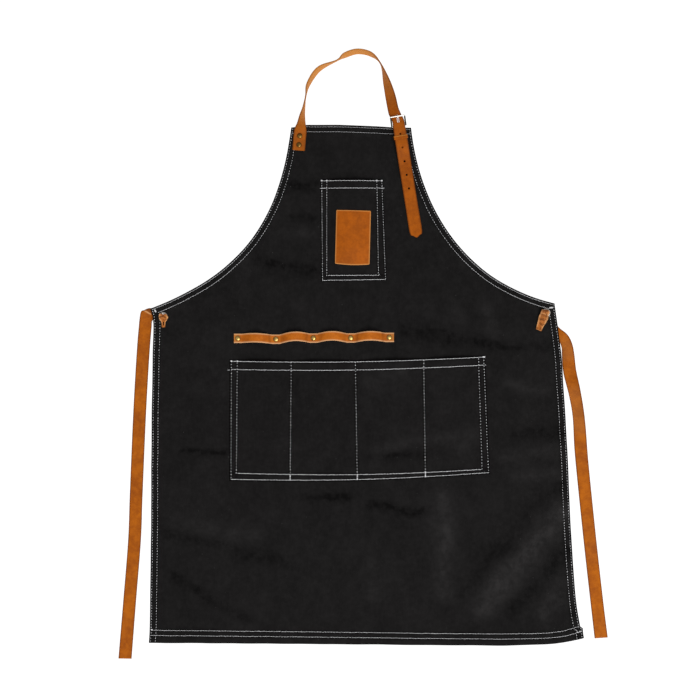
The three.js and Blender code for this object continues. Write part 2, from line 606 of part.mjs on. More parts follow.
function makeNeckStrap() {
  const neck = NECK_RUN.map((row) => ({ ...row, width: STRAP_WIDTH }));
  const freeEnd = FREE_END.map((row) => ({ ...row, ...downStrap(row.at) }));
  const rows = smoothRows([...neck, ...freeEnd], ['x', 'y', 'lift', 'roll', 'width']);
  const frames = rows.map((row, k) => {
    const before = rows[Math.max(k - 1, 0)];
    const after = rows[Math.min(k + 1, rows.length - 1)];
    const ahead = new THREE.Vector2(after.x - before.x, after.y - before.y).normalize();
    const roll = radians(Math.max(row.roll, 0));
    const side = new THREE.Vector3(-ahead.y * Math.cos(roll), ahead.x * Math.cos(roll), Math.sin(roll));
    const height = (row.width / 2) * Math.sin(roll) + (STRAP_THICK / 2) * Math.abs(Math.cos(roll));
    return {
      centre: new THREE.Vector3(row.x, row.y, Math.max(row.lift, 0) + height),
      side,
      width: row.width,
      thick: STRAP_THICK,
    };
  });
  const holes = NECK_RIVETS.map((place) => drill(place, RIVET.hole));
  for (let k = 1; k < HOLES.count; k += 1) {
    holes.push(drill(downStrap(HOLES.first + k * HOLES.pitch), HOLES.radius));
  }
  const prongHole = new THREE.BoxGeometry(2 * HOLES.radius, HOLES.slotLength, DRILL_REACH.high);
  const { x, y } = downStrap(HOLES.first);
  prongHole.rotateZ(radians(BUCKLE.slant));
  prongHole.translate(x, y, DRILL_REACH.high / 2);
  add('neck_strap', cut(ribbon(frames), [...holes, prongHole]), LEATHER);
  const seat = NECK_RUN[0].lift + STRAP_THICK + GAP;
  NECK_RIVETS.forEach((place, k) => makeRivet(`neck_rivet_${k + 1}`, place, seat));
}

function roundedBox(width, length, corner) {
  const [x, y] = [width / 2, length / 2];
  const shape = new THREE.Shape();
  shape.moveTo(-x + corner, -y);
  shape.lineTo(x - corner, -y);
  shape.absarc(x - corner, -y + corner, corner, -Math.PI / 2, 0);
  shape.lineTo(x, y - corner);
  shape.absarc(x - corner, y - corner, corner, 0, Math.PI / 2);
  shape.lineTo(-x + corner, y);
  shape.absarc(-x + corner, y - corner, corner, Math.PI / 2, Math.PI);
  shape.lineTo(-x, -y + corner);
  shape.absarc(-x + corner, -y + corner, corner, Math.PI, 1.5 * Math.PI);
  return shape;
}

// The buckle's own group: local -Y runs down the strap
function makeBuckle() {
  const group = new THREE.Group();
  group.position.set(BUCKLE.x, BUCKLE.y, 0);
  group.rotation.z = radians(BUCKLE.slant);
  apron.add(group);
  makeFrame(group);
  makeProng(group);
  makeTab(group);
  makeKeeper(group);
}

// Distance down the strap and height of a point of the frame, by its distance down the frame itself
function onFrame(distance) {
  const tilt = radians(BUCKLE.tilt);
  return { at: distance * Math.cos(tilt), z: BUCKLE.z - distance * Math.sin(tilt) };
}

const HEEL_BAR = onFrame((BUCKLE.length - BUCKLE.bar) / 2);
// A round clearance about the heel bar's square section
const HEEL_CLEARANCE = BUCKLE.bar * 0.6 + GAP;

function aroundHeel(radius, degrees) {
  const angle = radians(degrees);
  return { at: HEEL_BAR.at + radius * Math.cos(angle), z: HEEL_BAR.z + radius * Math.sin(angle) };
}

function makeFrame(group) {
  const bevel = BUCKLE.bar / 4;
  const outline = roundedBox(BUCKLE.width - 2 * bevel, BUCKLE.length - 2 * bevel, BUCKLE.corner - bevel);
  const inset = 2 * (BUCKLE.bar - bevel);
  outline.holes.push(roundedBox(BUCKLE.width - inset, BUCKLE.length - inset, BUCKLE.corner / 2));
  const geometry = new THREE.ExtrudeGeometry(outline, {
    depth: BUCKLE.bar - 2 * bevel,
    bevelThickness: bevel,
    bevelSize: bevel,
    bevelSegments: 1,
    curveSegments: 3,
  });
  geometry.translate(0, 0, bevel - BUCKLE.bar / 2);
  const mesh = add('buckle_frame', geometry, NICKEL, group);
  mesh.rotation.x = radians(BUCKLE.tilt);
  mesh.position.z = BUCKLE.z;
}

// The prong hooks round the heel bar, passes up through the strap and rests on the top bar
function makeProng(group) {
  const hook = [-130, -90, -45, 0, 45, 90].map((degrees) => aroundHeel(HEEL_CLEARANCE + PRONG_RADIUS, degrees));
  const path = [...hook, ...PRONG_SHANK].map(({ at, z }) => new THREE.Vector3(0, -at, z));
  const section = new THREE.Shape();
  section.absarc(0, 0, PRONG_RADIUS, 0, 2 * Math.PI);
  const geometry = new THREE.ExtrudeGeometry(section, {
    extrudePath: new THREE.CatmullRomCurve3(path),
    steps: 2 * path.length,
    curveSegments: 6,
    bevelEnabled: false,
  });
  add('buckle_prong', geometry, NICKEL, group);
}

// The tab lies on the hem, turns round the heel bar, comes back over itself and is riveted through both layers
function makeTab(group) {
  const turn = HEEL_CLEARANCE + TAB.thick / 2;
  const lowHeight = HEEL_BAR.z - turn;
  const highHeight = lowHeight + TAB.thick + GAP;
  const wrap = [270, 245, 220, 195, 170, 145, 120, 95].map((degrees) => aroundHeel(turn, degrees));
  const path = [
    { at: TAB.lowerEnd, z: lowHeight },
    { at: HEEL_BAR.at + TAB.slotLength / 2, z: lowHeight },
    ...wrap,
    { at: HEEL_BAR.at + TAB.slotLength / 2, z: lerp(highHeight, HEEL_BAR.z + turn, 0.75) },
    { at: HEEL_BAR.at + TAB.slotLength * 1.2, z: lerp(highHeight, HEEL_BAR.z + turn, 0.25) },
    { at: HEEL_BAR.at + TAB.slotLength * 1.8, z: highHeight },
    { at: TAB.upperEnd, z: highHeight },
  ];
  const frames = path.map(({ at, z }) => ({
    centre: new THREE.Vector3(0, -at, z),
    side: new THREE.Vector3(1, 0, 0),
    width: TAB.width,
    thick: TAB.thick,
  }));
  const slot = new THREE.BoxGeometry(TAB.slot, TAB.slotLength, DRILL_REACH.high);
  slot.translate(0, -HEEL_BAR.at, HEEL_BAR.z);
  const rivet = { x: 0, y: -TAB.rivetAt };
  const hole = drill(rivet, RIVET.hole);
  add('buckle_tab', cut(ribbon(frames), [slot, hole]), LEATHER, group);
  makeRivet('tab_rivet', rivet, highHeight + TAB.thick / 2 + GAP / 2, group);
}

// The keeper is a flat band that loops round the tab and the strap
function makeKeeper(group) {
  const height = KEEPER.high - KEEPER.low;
  const { inner, wall } = KEEPER;
  const outline = roundedBox(inner + 2 * wall, height + 2 * wall, 2 * wall);
  outline.holes.push(roundedBox(inner, height, wall));
  const geometry = new THREE.ExtrudeGeometry(outline, {
    depth: KEEPER.band,
    curveSegments: 4,
    bevelEnabled: false,
  });
  geometry.rotateX(Math.PI / 2);
  geometry.translate(0, KEEPER.band / 2, 0);
  const mesh = add('strap_keeper', geometry, LEATHER, group);
  mesh.position.set(0, -KEEPER.at, (KEEPER.low + KEEPER.high) / 2);
}

makePanel();
makePocket('chest_pocket', CHEST_POCKET);
makePocket('lower_pocket', LOWER_POCKET);
makePatch();
makeToolLoops();
makeNeckStrap();
makeBuckle();
makeEyelet('eyelet_left', EYELETS.left);
makeEyelet('eyelet_right', EYELETS.right);
makeTie('left_tie', LEFT_TIE);
makeTie('right_tie', RIGHT_TIE);

export default apron;
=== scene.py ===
"""A denim bib apron with leather straps, laid flat on its back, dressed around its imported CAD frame.

Sizes are millimetres, as in the part's own source: the neck points to +Y, the front faces up and the
floor is z = 0. Each piece is modelled in millimetres and scaled to metres when it becomes an object.
"""

import math
import random

import bmesh
import bpy
import numpy as np
from mathutils import Matrix, Vector, noise
from mathutils.bvhtree import BVHTree


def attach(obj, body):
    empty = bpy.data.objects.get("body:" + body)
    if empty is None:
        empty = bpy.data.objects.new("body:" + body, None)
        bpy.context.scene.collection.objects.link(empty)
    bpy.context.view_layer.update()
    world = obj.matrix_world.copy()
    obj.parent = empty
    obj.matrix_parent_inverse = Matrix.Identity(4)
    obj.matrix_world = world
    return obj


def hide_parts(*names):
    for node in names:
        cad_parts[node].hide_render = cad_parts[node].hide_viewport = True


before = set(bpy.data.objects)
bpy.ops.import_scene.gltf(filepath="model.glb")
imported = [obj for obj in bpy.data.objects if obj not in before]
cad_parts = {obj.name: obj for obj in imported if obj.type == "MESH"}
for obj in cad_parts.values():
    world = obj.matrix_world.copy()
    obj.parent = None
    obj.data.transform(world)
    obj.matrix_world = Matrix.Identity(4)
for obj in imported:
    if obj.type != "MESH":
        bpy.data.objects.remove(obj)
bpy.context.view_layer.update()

# Shared sizes
MM = 0.001
GAP = 0.3
CLOTH = 1.2
HEM_CLOTH = 2.4
STRAP_THICK = 2.0
STRAP_STEPS = 9
# A height above every piece
ABOVE = 60

# Apron panel: its six corners, its hems and the curve of the armholes
HEM_LEFT = (-331.0, -448.6)
HEM_RIGHT = (342.8, -441.0)
WAIST_LEFT = (-328.2, 69.0)
WAIST_RIGHT = (296.6, 77.0)
BIB_LEFT = (-110.6, 350.0)
BIB_RIGHT = (75.2, 349.6)
LEFT_ARMHOLE = {"out": 16.2, "down": 117.7, "in": 165.9, "up": 63.2}
RIGHT_ARMHOLE = {"out": 11.8, "down": 111.0, "in": 149.1, "up": 36.3}
LEFT_SIDE = [(-329.6, -424), (-328.8, -367), (-327.5, -258), (-327.2, -150), (-325.4, -20), (-323.6, 46)]
RIGHT_SIDE = [(336.6, -421), (329.0, -367), (321.8, -258), (317.2, -150), (307.6, -6)]
HEM_SAG = {"depth": 14.0, "growth": 1.15, "corner_power": 14}
TOP_RISE = {"height": 4.0, "reached": 0.13, "level": 0.35, "fade_power": 8}
# The bottom hem's right end stands out past the side up to its upper edge
HEM_END = {"out": 3.4, "low": 16.3, "high": 18.0}
SIDE_HEM = 11.8
BOTTOM_HEM = 22.0
# Stitch rows of each hem, by distance from its edge
SIDE_ROWS = (2.5, 10.0)
BOTTOM_ROWS = (12.2, 20.2)
TOP_ROWS = (2.9, 9.7)
# Grid lines close to an edge, which follow the fold, the stitch rows and the end of the hem
SIDE_NEAR = (0, 0.4, 1.2, 2.5, 3.6, 5.8, 8.8, 10.0, 11.1, 12.1, 13.4, 16.2, 20, 27)
BOTTOM_NEAR = (0, 0.5, 1.4, 3.4, 7.2, 10.9, 12.2, 13.5, 16.2, 18.9, 20.2, 21.4, 22.6, 24.2, 27, 31.5)
TOP_NEAR = (0, 0.4, 1.0, 1.8, 2.9, 4.0, 6.2, 8.6, 9.7, 10.8, 12.0, 13.6, 17, 23)
INNER_COLUMNS = 164
SKIRT_ROWS = 104
BIB_ROWS = 74
# Distance from a waist corner over which the hem's grid lines turn, and from the panel's ends where they
# level out, and a distance that stands for far from any hem
CORNER_REACH = 70.0
END_REACH = 45.0
FAR = 99.0
# A turned hem: where its fold ends, before and after its width, its crown between the stitch rows, and the
# groove along each of them
HEM_FOLD = {"before": 0.4, "after": 1.6, "crown": 0.25, "groove": 0.42, "groove_width": 0.95}
# Step of the underside where the hem ends, and how much of a second hem shows where two overlap
HEM_STEP = 0.25
HEM_LAP = 0.3
# Sway of the side edges, and raggedness of the bottom and top ones, which fades away from each
SIDE_SWAY = {"by": 0.35, "size": 55}
RAGGED = {"by": 0.5, "size": 48, "seed": 3.0, "bottom": 1.6, "bottom_fade": 14, "top_fade": 10}
# Layers of noise in cloth and leather: height, offset of the noise, size of the bumps, seed
RIPPLES = [(0.8, 1, 85, 4.0), (0.45, 1, 31, 5.0), (0.12, 0, 12, 15.0)]
POCKET_SLACK = [(0.4, 0, 27, 8.0)]
PATCH_DENTS = [(0.12, 0, 9, 10.0), (0.1, 0, 22, 11.0)]
# Puckers along an edge: distance of their middle from it, reach, pitch, sway, size of the sway, seed
BOTTOM_PUCKER = (15, 7, 15.5, 2.2, 40, 6.0)
SIDE_PUCKER = (6, 5, 11, 2.5, 30, 7.0)
POCKET_PUCKER = (6, 6, 12, 2, 35, 9.0)
# Height of the puckers, share of the side ones, share left under other pieces, and the deepest one
PUCKER = {"height": 0.34, "side": 0.8, "held": 0.3, "deepest": 0.35, "pocket": 0.22, "pocket_deepest": 0.2}
# Rounded edges: radius, how far the underside tucks up, and the share of the wall left at the rim
PANEL_EDGE = {"radius": 1.4, "tuck": 0.5, "wall": 0.4}
POCKET_EDGE = {"radius": 1.2, "tuck": 0.3, "wall": 0.4}
PATCH_EDGE = {"radius": 1.0, "tuck": 0.3, "wall": 0.5}
# Width of the shade along stitch rows, and how far from an edge the cloth's marks still tell the distance
PANEL_SHADE = 1.8
POCKET_SHADE = 2.0
RIM_REACH = 30

# Soft folds and the raised side corners: x0, y0, x1, y1 of a ridge, how far out it is level, where it is
# gone, height
FOLDS = [
    (-326, 64, -298, 55, 34, 82, 6.0),
    (278, 66, 306, 30, 34, 82, 6.0),
    (290, -420, 225, -275, 0, 62, 6.0),
    (95, -400, 60, -290, 0, 56, 4.0),
    (-190, -395, -215, -290, 0, 56, 3.5),
    (-272, -190, -266, -80, 0, 46, 3.0),
    (258, -190, 252, -90, 0, 46, 4.0),
    (60, 78, 130, 88, 0, 40, 3.0),
]
# How the wrinkles below wander, and how patchy they are
WRINKLE_BEND = {"by": 8, "size": 48, "x_seed": 12.0, "y_seed": 13.0}
WRINKLE_PATCHES = {"share": 0.7, "size": 30, "seed": 14.0}
# Wrinkles: x0, y0, x1, y1 of a line, its width, its height and how much paler its cloth is painted, darker
# where negative: wear with a painted highlight on the ridges, painted shade in the troughs
WRINKLES = [
    (308, -240, 188, -389, 21, 2.4, 1.0),
    (306, -210, 131, -386, 18, -1.2, -0.32),
    (315, -308, 232, -398, 16, -1.0, -0.36),
    (325, -344, 283, -398, 16, 1.4, 0.6),
    (122, -224, 129, -372, 18, 1.4, 0.75),
    (13, -318, 13, -376, 9, 0.6, 0.45),
    (-92, -221, -20, -223, 6, -0.8, -0.6),
    (15, -235, 95, -244, 8, -0.9, -0.55),
    (-278, -154, -212, -153, 5, -0.8, -0.6),
    (-288, -346, -242, -379, 11, -0.9, -0.38),
    (-236, -382, -178, -412, 9, -0.5, -0.25),
    (-306, -275, -112, -328, 9, -0.7, -0.35),
    (-291, -258, -167, -282, 14, 1.0, 0.35),
    (-156, 143, -78, 124, 11, -1.2, -0.45),
    (-120, 259, -75, 258, 9, -1.0, -0.45),
    (-112, 214, -80, 213, 8, -0.8, -0.4),
    (-128, 188, -78, 188, 8, 0.8, 0.3),
    (70, 33, 200, 16, 12, -1.2, -0.45),
    (213, 13, 290, 5, 6, -0.6, -0.4),
    (191, 73, 204, 28, 11, 1.0, 0.45),
    (135, 83, 154, 44, 10, 0.6, 0.3),
    (221, -48, 283, -57, 9, 0.9, 0.45),
    (236, -125, 306, -125, 10, -1.0, -0.4),
    (221, -159, 303, -147, 11, 1.0, 0.45),
    (236, -193, 298, -187, 9, 0.8, 0.45),
    (8, -49, 66, -29, 9, 0.3, 0.3),
    (27, -147, 166, -125, 10, 0.3, 0.35),
    (15, -166, 90, -158, 7, -0.3, -0.4),
    (154, -153, 182, -119, 9, 0.3, 0.4),
]
# Places where other pieces lie on the cloth and keep it still: x0, y0, x1, y1
STILL_PLACES = [
    (-68, 108, 40, 272),
    (-210, -204, 200, -2),
    (-202, 12, 52, 36),
    (46, 165, 98, 360),
    (-115, 305, -82, 356),
    (-345, 25, -285, 80),
    (258, 22, 312, 84),
]
# Distances from such a place up to which the cloth is held still and from which it is fully free
STILL_FADE = (2, 28)

# Pockets: corners, seams between compartments by their share of the width at the top and at the bottom,
# sewn border, top hem, sag of the whole and how far it stands open
CHEST_POCKET = {
    "top": ((-64.9, 269.2), (31.2, 269.2)),
    "bottom": ((-63.7, 111.3), (37.2, 112.8)),
    "seams": (), "band": 8.5, "top_hem": 13.0, "sag": 0.0, "opening": 5.5,
    "columns": 56, "rows": 76,
}
LOWER_POCKET = {
    "top": ((-205.6, -10.4), (189.8, -3.9)),
    "bottom": ((-206.2, -197.5), (197.5, -186.8)),
    "seams": ((0.2405, 0.233), (0.4915, 0.4905), (0.759, 0.752)),
    "band": 10.0, "top_hem": 14.0, "sag": 4.0, "opening": 5.0,
    "columns": 184, "rows": 74,
}
# Distances of a pocket's stitch rows from its edges, at the top and at the bottom of each side
# The second row below the mouth runs over the pocket's edges onto the panel
# Tacks near the mouth: distance from the left edge, or from the right one where negative, and length
CHEST_ROWS = {
    "outer": 1.6, "left": (9.4, 7.8), "right": (9.2, 11.8), "bottom": (9.1, 8.4), "top": 2.1,
    "second": 13.6, "over": (1.2, 1.6),
    "tacks": [(1.6, 2.4), (9.4, 2.4), (-9.2, 2.4), (-1.6, 2.4)], "tacks_below": 1.8, "tack_turn": 90,
}
LOWER_ROWS = {
    "outer": 2.4, "left": (11.7, 10.4), "right": (10.5, 12.0), "bottom": (12.0, 8.1), "top": 2.0,
    "second": 14.6, "over": (3.4, 2.0),
    "tacks": [(2.4, 2.4), (11.7, 2.4), (-2.4, 4.5)], "tacks_below": 1.6, "tack_turn": 0,
}
# How far a row keeps from a pocket's corners, the slope of the part that runs over the left edge, and the
# close pair of threads at the foot of a seam
ROW_END = 0.5
OVER_SLOPE = 0.4
SEAM_FOOT = {"aside": 0.4, "above": 9, "low": 0.6}
POCKET_GROOVE = {"depth": 0.4, "width": 0.9}
# Where a pocket's turned border ends beyond its stitch row
BORDER_FADE = (0.6, 2.6)
POCKET_NEAR = (0, 0.4, 1.1, 2.2, 3.4, 5.5, 7.8)
POCKET_CLOTH = 1.1
POCKET_HEM = 2.0
SEAM_FLAT = 4.0
FULLY_OPEN = 0.35

# Leather patch on the chest pocket
PATCH = {
    "x": -15.0, "y": 179.6, "width": 53.5, "height": 83.0, "turn": -1.5, "thick": 1.8, "gap": 0.5,
    "corner": 1.5, "bow": 1.6, "columns": 30, "rows": 46,
}
# Its raised rim and pressed border: distance from the edge, width, height
PATCH_RIM = (1, 0.8, 0.15)
PATCH_BORDER = (2.3, 0.7, 0.22)
PATCH_CUT_EDGE = (0.4, 1.9)
PATCH_NEAR = (0, 0.3, 0.8, 1.5, 2.4, 3.6)

# Tool loops: a strip that arches up between its rivets and bows a little toward the neck
LOOPS = {"left_end": 5.9, "right_end": 7.2, "width": 14.6, "thick": 1.8, "seat": 6.0}
LOOP_RIVETS = [(-193.3, 23.2), (-134.3, 21.8), (-76.2, 23.6), (-18.4, 23.8), (41.4, 24.7)]
# Height and bow of each arch
ARCHES = [(7.5, 1.6), (9.0, 3.6), (9.5, 3.4), (9.0, 2.9)]
ARCH_STEPS = 28
ARCH_POWER = 1.4
# Dips where the strip bends down, with painted shade in them: distance from the rivet, width, depth, darkness
# of the shade, size of patches, seed
FLANK_SHADE = {"at": 9.5, "width": 2.6, "depth": 0.35, "dark": 0.5, "size_x": 7, "size_y": 16, "seed": 18.0}
LOOP_CUT_END = (0.3, 1.4)
LOOP_EDGE_REACH = 2.8

# Rivets and eyelets
RIVET = {"cap": 4.0, "dome": 1.6, "post": 1.5, "back": 3.4, "foot": 0.5}
# The cap from its rim to its middle: share of its radius, share of its dome, wear
RIVET_CAP = [
    (0.93, 0, 0), (1, 0.14, 0.15), (0.985, 0.34, 0.3), (0.92, 0.5, 0.15), (0.84, 0.6, 0.3), (0.7, 0.78, 0.6),
    (0.5, 0.92, 0.8), (0.26, 0.98, 0.95), (0, 1, 1),
]
EYELET = {"bore": 4.2, "barrel": 4.8, "flange": 7.0, "lip": 0.9, "hole": 5.4}
EYELET_LEFT = (-308.2, 56.8)
EYELET_RIGHT = (283.5, 62.5)
ROUND_STEPS = 40
DRILL = {"sides": 24, "depth": 60}

# Buckle: centre of the frame, with the strap's straight free end running down from it at a slant
BUCKLE = {
    "x": 55.0, "y": 358.3, "z": 10.5, "slant": 9.2, "tilt": 24.0, "width": 24.2, "length": 19.0, "bar": 2.4,
    "corner": 3.0,
}
# Wear of the frame, most on its level bars; its dull, dark side bars are partly painted shade standing in for
# a dark reflection
BUCKLE_WEAR_AND_SHADE = {"gain": 2.2, "start": 1.0}
TAB = {
    "width": 17.0, "thick": 1.5, "lower_end": 46.0, "upper_end": 42.0, "slot": 4.0, "slot_length": 9.0,
    "rivet_at": 33.0,
}
KEEPER = {
    "at": 25.0, "band": 5.5, "wall": 0.8, "inner": 20.0, "low": 3.65, "high": 12.3, "pale_from": 1.7,
    "pale_full": 0.5,
}
HOLES = {"first": -1.7, "pitch": 21.2, "count": 6, "radius": 1.6, "slot_length": 7.0}
PRONG_RADIUS = 1.0
PRONG_SIDES = 10
PRONG_WEAR = 1.3
PRONG_TAPER = {"by": 0.35, "from": 0.75}
PRONG_HOOK = (-130, -90, -45, 0, 45, 90)
# The prong's shank: distance down the strap, height
PRONG_SHANK = [(3.2, 9.0), (0.6, 9.5), (-1.7, 11.3), (-4.0, 14.4), (-6.0, 16.1), (-7.8, 16.6), (-9.4, 16.3)]

# Neck strap: x, y, height of its lower edge, roll of its outer edge, width, and how pale its leather is
# painted where it rolls on edge, which is painted light
NECK_RUN = [
    (-99.0, 314.0, 2.7, 0, 19.8, 0.1),
    (-97.4, 334.0, 2.7, 0, 19.8, 0.1),
    (-96.6, 341.5, 2.7, 2, 19.8, 0.1),
    (-94.8, 352.5, 2.8, 46, 19.8, 0.2),
    (-93.2, 366.3, 1.0, 68, 19.8, 0.5),
    (-90.6, 380.2, 0.0, 84, 19.8, 0.7),
    (-87.9, 397.0, 0.0, 92, 19.8, 0.8),
    (-83.8, 415.9, 0.0, 79, 19.8, 0.9),
    (-67.6, 439.1, 0.0, 76, 19.8, 1.0),
    (-40.2, 452.2, 0.0, 95, 19.8, 1.0),
    (-27.4, 460.6, 0.0, 76, 19.8, 1.0),
    (-7.8, 466.4, 0.0, 76, 19.8, 1.0),
    (13.0, 461.9, 0.0, 80, 19.8, 0.9),
    (27.6, 447.8, 0.0, 94, 19.8, 0.6),
    (37.4, 418.5, 0.0, 59, 19.8, 0.35),
    (43.2, 396.3, 0.4, 40, 19.8, 0.15),
    (47.5, 376.0, 3.2, 32, 19.4, 0.0),
    (50.9, 367.3, 8.6, 6, 17.4, 0.0),
]
# The rest of it: distance down the strap from the buckle's centre, height, width
FREE_END = [
    (0.0, 10.2, 18.4), (7.7, 10.6, 18.8), (20.0, 10.0, 19.4), (30.0, 9.5, 19.8),
    (38.0, 9.3, 19.8), (50.0, 6.0, 19.8), (64.0, 3.2, 19.8), (82.0, 2.7, 19.8), (105.0, 2.4, 19.8),
    (135.0, 1.5, 19.8), (172.0, 1.5, 19.8), (178.0, 1.5, 11.0), (181.3, 1.5, 2.5),
]
NECK_RIVETS = [(-97.3, 336.6), (-98.4, 322.6)]

# Waist ties, free end first: x, y, z, compass turn and tilt of the left edge, width, thickness
LEFT_TIE = [
    (-368.1, -473.0, 1.0, 179, 0, 20.4, 2.0),
    (-360.8, -382.4, 1.0, 175, 0, 19.8, 2.0),
    (-353.4, -290.0, 1.0, 177, 0, 19.8, 2.0),
    (-350.8, -220.0, 1.0, 178, 0, 19.8, 2.0),
    (-346.2, -111.0, 1.5, 177, 3, 19.8, 2.0),
    (-342.6, -42.0, 1.7, 177, 4, 19.8, 2.0),
    (-339.1, 13.0, 1.7, 177, 4, 19.8, 2.0),
    (-336.6, 42.0, 1.9, 171, 5, 19.8, 2.0),
    (-335.9, 50.2, 2.3, 156, 6, 20.4, 2.0),
    (-334.6, 56.5, 2.6, 134, 8, 23.4, 2.0),
    (-332.1, 58.3, 2.5, 126, 7, 21.4, 2.0),
    (-326.4, 61.3, 2.2, 105, 5, 18.0, 2.2),
    (-318.0, 60.3, 1.7, 88, 0, 11.0, 2.4),
    (-312.0, 58.0, 2.2, 74, 0, 7.0, 2.8),
    (-308.4, 56.8, 5.4, 48, 0, 5.6, 2.8),
    (-308.2, 57.1, 9.7, 14, 0, 5.6, 2.6),
    (-307.9, 59.0, 12.2, 0, 0, 11.5, 2.6),
    (-307.6, 56.6, 13.3, 0, 0, 14.6, 2.4),
    (-307.4, 53.0, 12.2, 0, 0, 12.8, 2.2),
    (-307.5, 49.8, 10.6, 0, 0, 8.0, 2.0),
    (-307.7, 46.6, 9.5, 0, 0, 5.8, 2.0),
    (-307.8, 40.3, 8.7, 0, 0, 5.4, 2.0),
]
RIGHT_TIE = [
    (369.7, -440.9, 1.0, 184, 0, 20.4, 2.0),
    (363.6, -390.0, 1.0, 187, 0, 19.8, 2.0),
    (354.8, -312.6, 1.0, 186, 0, 19.8, 2.0),
    (346.6, -235.1, 1.0, 186, 0, 19.8, 2.0),
    (338.9, -157.6, 1.7, 186, -4, 19.8, 2.0),
    (334.4, -100.0, 5.8, 188, -29, 19.8, 2.0),
    (328.6, -63.0, 4.9, 196, -23, 19.8, 2.0),
    (320.9, -28.0, 2.0, 190, -6, 20.2, 2.0),
    (317.9, -2.0, 5.0, 190, -24, 20.2, 2.0),
    (316.0, 12.0, 5.2, 200, -27, 18.6, 2.0),
    (310.5, 24.0, 3.8, 217, -16, 16.8, 2.0),
    (299.5, 34.5, 2.2, 230, -4, 14.5, 2.2),
    (291.0, 49.0, 1.5, 226, 0, 11.0, 2.2),
    (286.0, 58.4, 1.8, 218, 0, 7.5, 2.6),
    (284.0, 62.0, 4.6, 204, 0, 5.6, 2.8),
    (283.6, 62.6, 9.8, 186, 0, 5.6, 2.6),
    (283.0, 66.2, 12.4, 172, 0, 9.6, 2.6),
    (282.2, 64.8, 14.2, 166, 0, 13.8, 2.4),
    (280.8, 60.8, 13.7, 163, 0, 13.4, 2.4),
    (279.2, 55.4, 12.5, 161, 0, 14.8, 2.4),
    (276.4, 47.8, 10.7, 160, 0, 12.8, 2.2),
    (273.9, 41.4, 9.5, 159, 0, 10.4, 2.0),
    (271.9, 35.7, 8.8, 158, 0, 9.4, 2.0),
]
# The left tie's fold at the corner and the right one's on its short end: line, ridge with a painted
# highlight, and reach of the painted shadow
LEFT_FOLD = {"line": (-337.7, 66.2, -328.5, 60.9), "width": 1.1, "height": 0.5, "shadow": 12.0}
RIGHT_FOLD = {"line": (288.8, 57.4, 275.6, 62.6), "width": 0.9, "height": 0.6, "shadow": 6.5}
FOLD_SHADE = {"from": 0.6, "full": 1.8, "soft": 5, "dark": 0.6}
# The slit of the left short end, and the heights where a tie's worn short end begins
TIE_SLIT = {"x": -307.6, "y": 46.2, "turn": 0, "width": 1.6, "length": 5.6, "low": 6.0, "high": 15.0}
SHORT_END = (8.4, 9.4)
# Its crumpling: sizes and depth of the dents, curl of its edges, the painted shade in its dents and the
# depths over which it darkens, and its pale tip
CRUMPLE = {"coarse": 4.2, "fine": 1.9, "fine_share": 0.6, "depth": 1.7, "curl": 0.5, "curl_level": 0.4}
CRUMPLE_SHADE = {"dark": 0.9, "from": 0.04, "full": 0.36}
PALE_TIP = (0.6, 2.4)
# Painted light, paler leather where a tie stands off the floor: how pale, from which height, fully from which
RAISED_LIGHT = {"pale": 0.12, "from": 2.8, "full": 5.2}
# A strap's worn edges: paleness at its middle, where it grows across, and what is left of edge and flesh
WORN = {"middle": 0.2, "from": 0.5, "full": 0.9, "edge_lost": 0.75, "flesh_lost": 0.8}

# Thread: stitches lie end to end along level rows and leave gaps along upright ones
STITCH = {"width": 0.95, "height": 0.6, "sink": 0.08, "tone": 0.8, "sides": 6, "rings": 5, "bow": 1.6}
# How far stitches stray in direction, sideways, length and tone
STRAY = {"swing": 0.07, "aside": 0.15, "length": (0.85, 1.1), "level_tone": (0.55, 0.9), "tone": (0, 1)}
# Steepness at which a row turns from level to upright stitches, and how far ahead and back its direction is
# taken
UPRIGHT = (0.5, 0.95)
AHEAD = 0.4
# Pitch of the stitches on each piece of cloth, and length and width of a level one and of an upright one
HEM_THREAD = {"pitch": 4.2, "level": (5.5, 0.68), "upright": (2.8, 0.86)}
CHEST_THREAD = {"pitch": 4.0, "level": (5.4, 0.84), "upright": (2.6, 0.95)}
LOWER_THREAD = {"pitch": 4.6, "level": (6.0, 0.9), "upright": (1.9, 1.45)}
TACK = {"threads": 4, "pitch": 0.45, "half_at": 0.17, "half_length": 0.68, "stray": 0.3}
# Tacks in the hem: x, y, turn, length. Then the two loose stitches at its lower right corner
HEM_TACKS = [(-320.5, 65.6, -62, 5.0), (291.5, 70.5, 4, 6), (-326.6, -428.0, 4, 3.4)]
CORNER_STITCHES = [(332.9, -431.5), (336.5, -430.3)]
CORNER_STITCH = {"rise": 0.3, "length": 2.6, "width": 1.5, "tone": 1.0}
TOP_DIM = 0.45

# Camera: the photograph's frame on the floor, and where its middle lies
VIEW = {"x": -19.5, "y": 5.1, "across": 1085.0, "lens": 100.0, "sensor": 36.0}
# Studio, in metres and watts
FLOOR = {"half": 14, "parts": 4, "below": 0.0004}
SURROUNDINGS = 0.42
LAMP = {"size": 2.8, "power": 172, "place": (1.3, -2.1, 4.1)}


# Small sums


def mix(a, b, share):
    return a + (b - a) * share


def smoothstep(value, low, high):
    share = np.clip((value - low) / (high - low), 0.0, 1.0)
    return share * share * (3 - 2 * share)


def dip(distance, width):
    """One on a line, fading to nothing a few widths away."""
    return np.exp(-((distance / width) ** 2))


def from_segment(x, y, x0, y0, x1, y1):
    """Distance of places from a straight line between two points."""
    along_x, along_y = x1 - x0, y1 - y0
    share = np.clip(((x - x0) * along_x + (y - y0) * along_y) / (along_x ** 2 + along_y ** 2), 0, 1)
    return np.hypot(x - x0 - share * along_x, y - y0 - share * along_y)


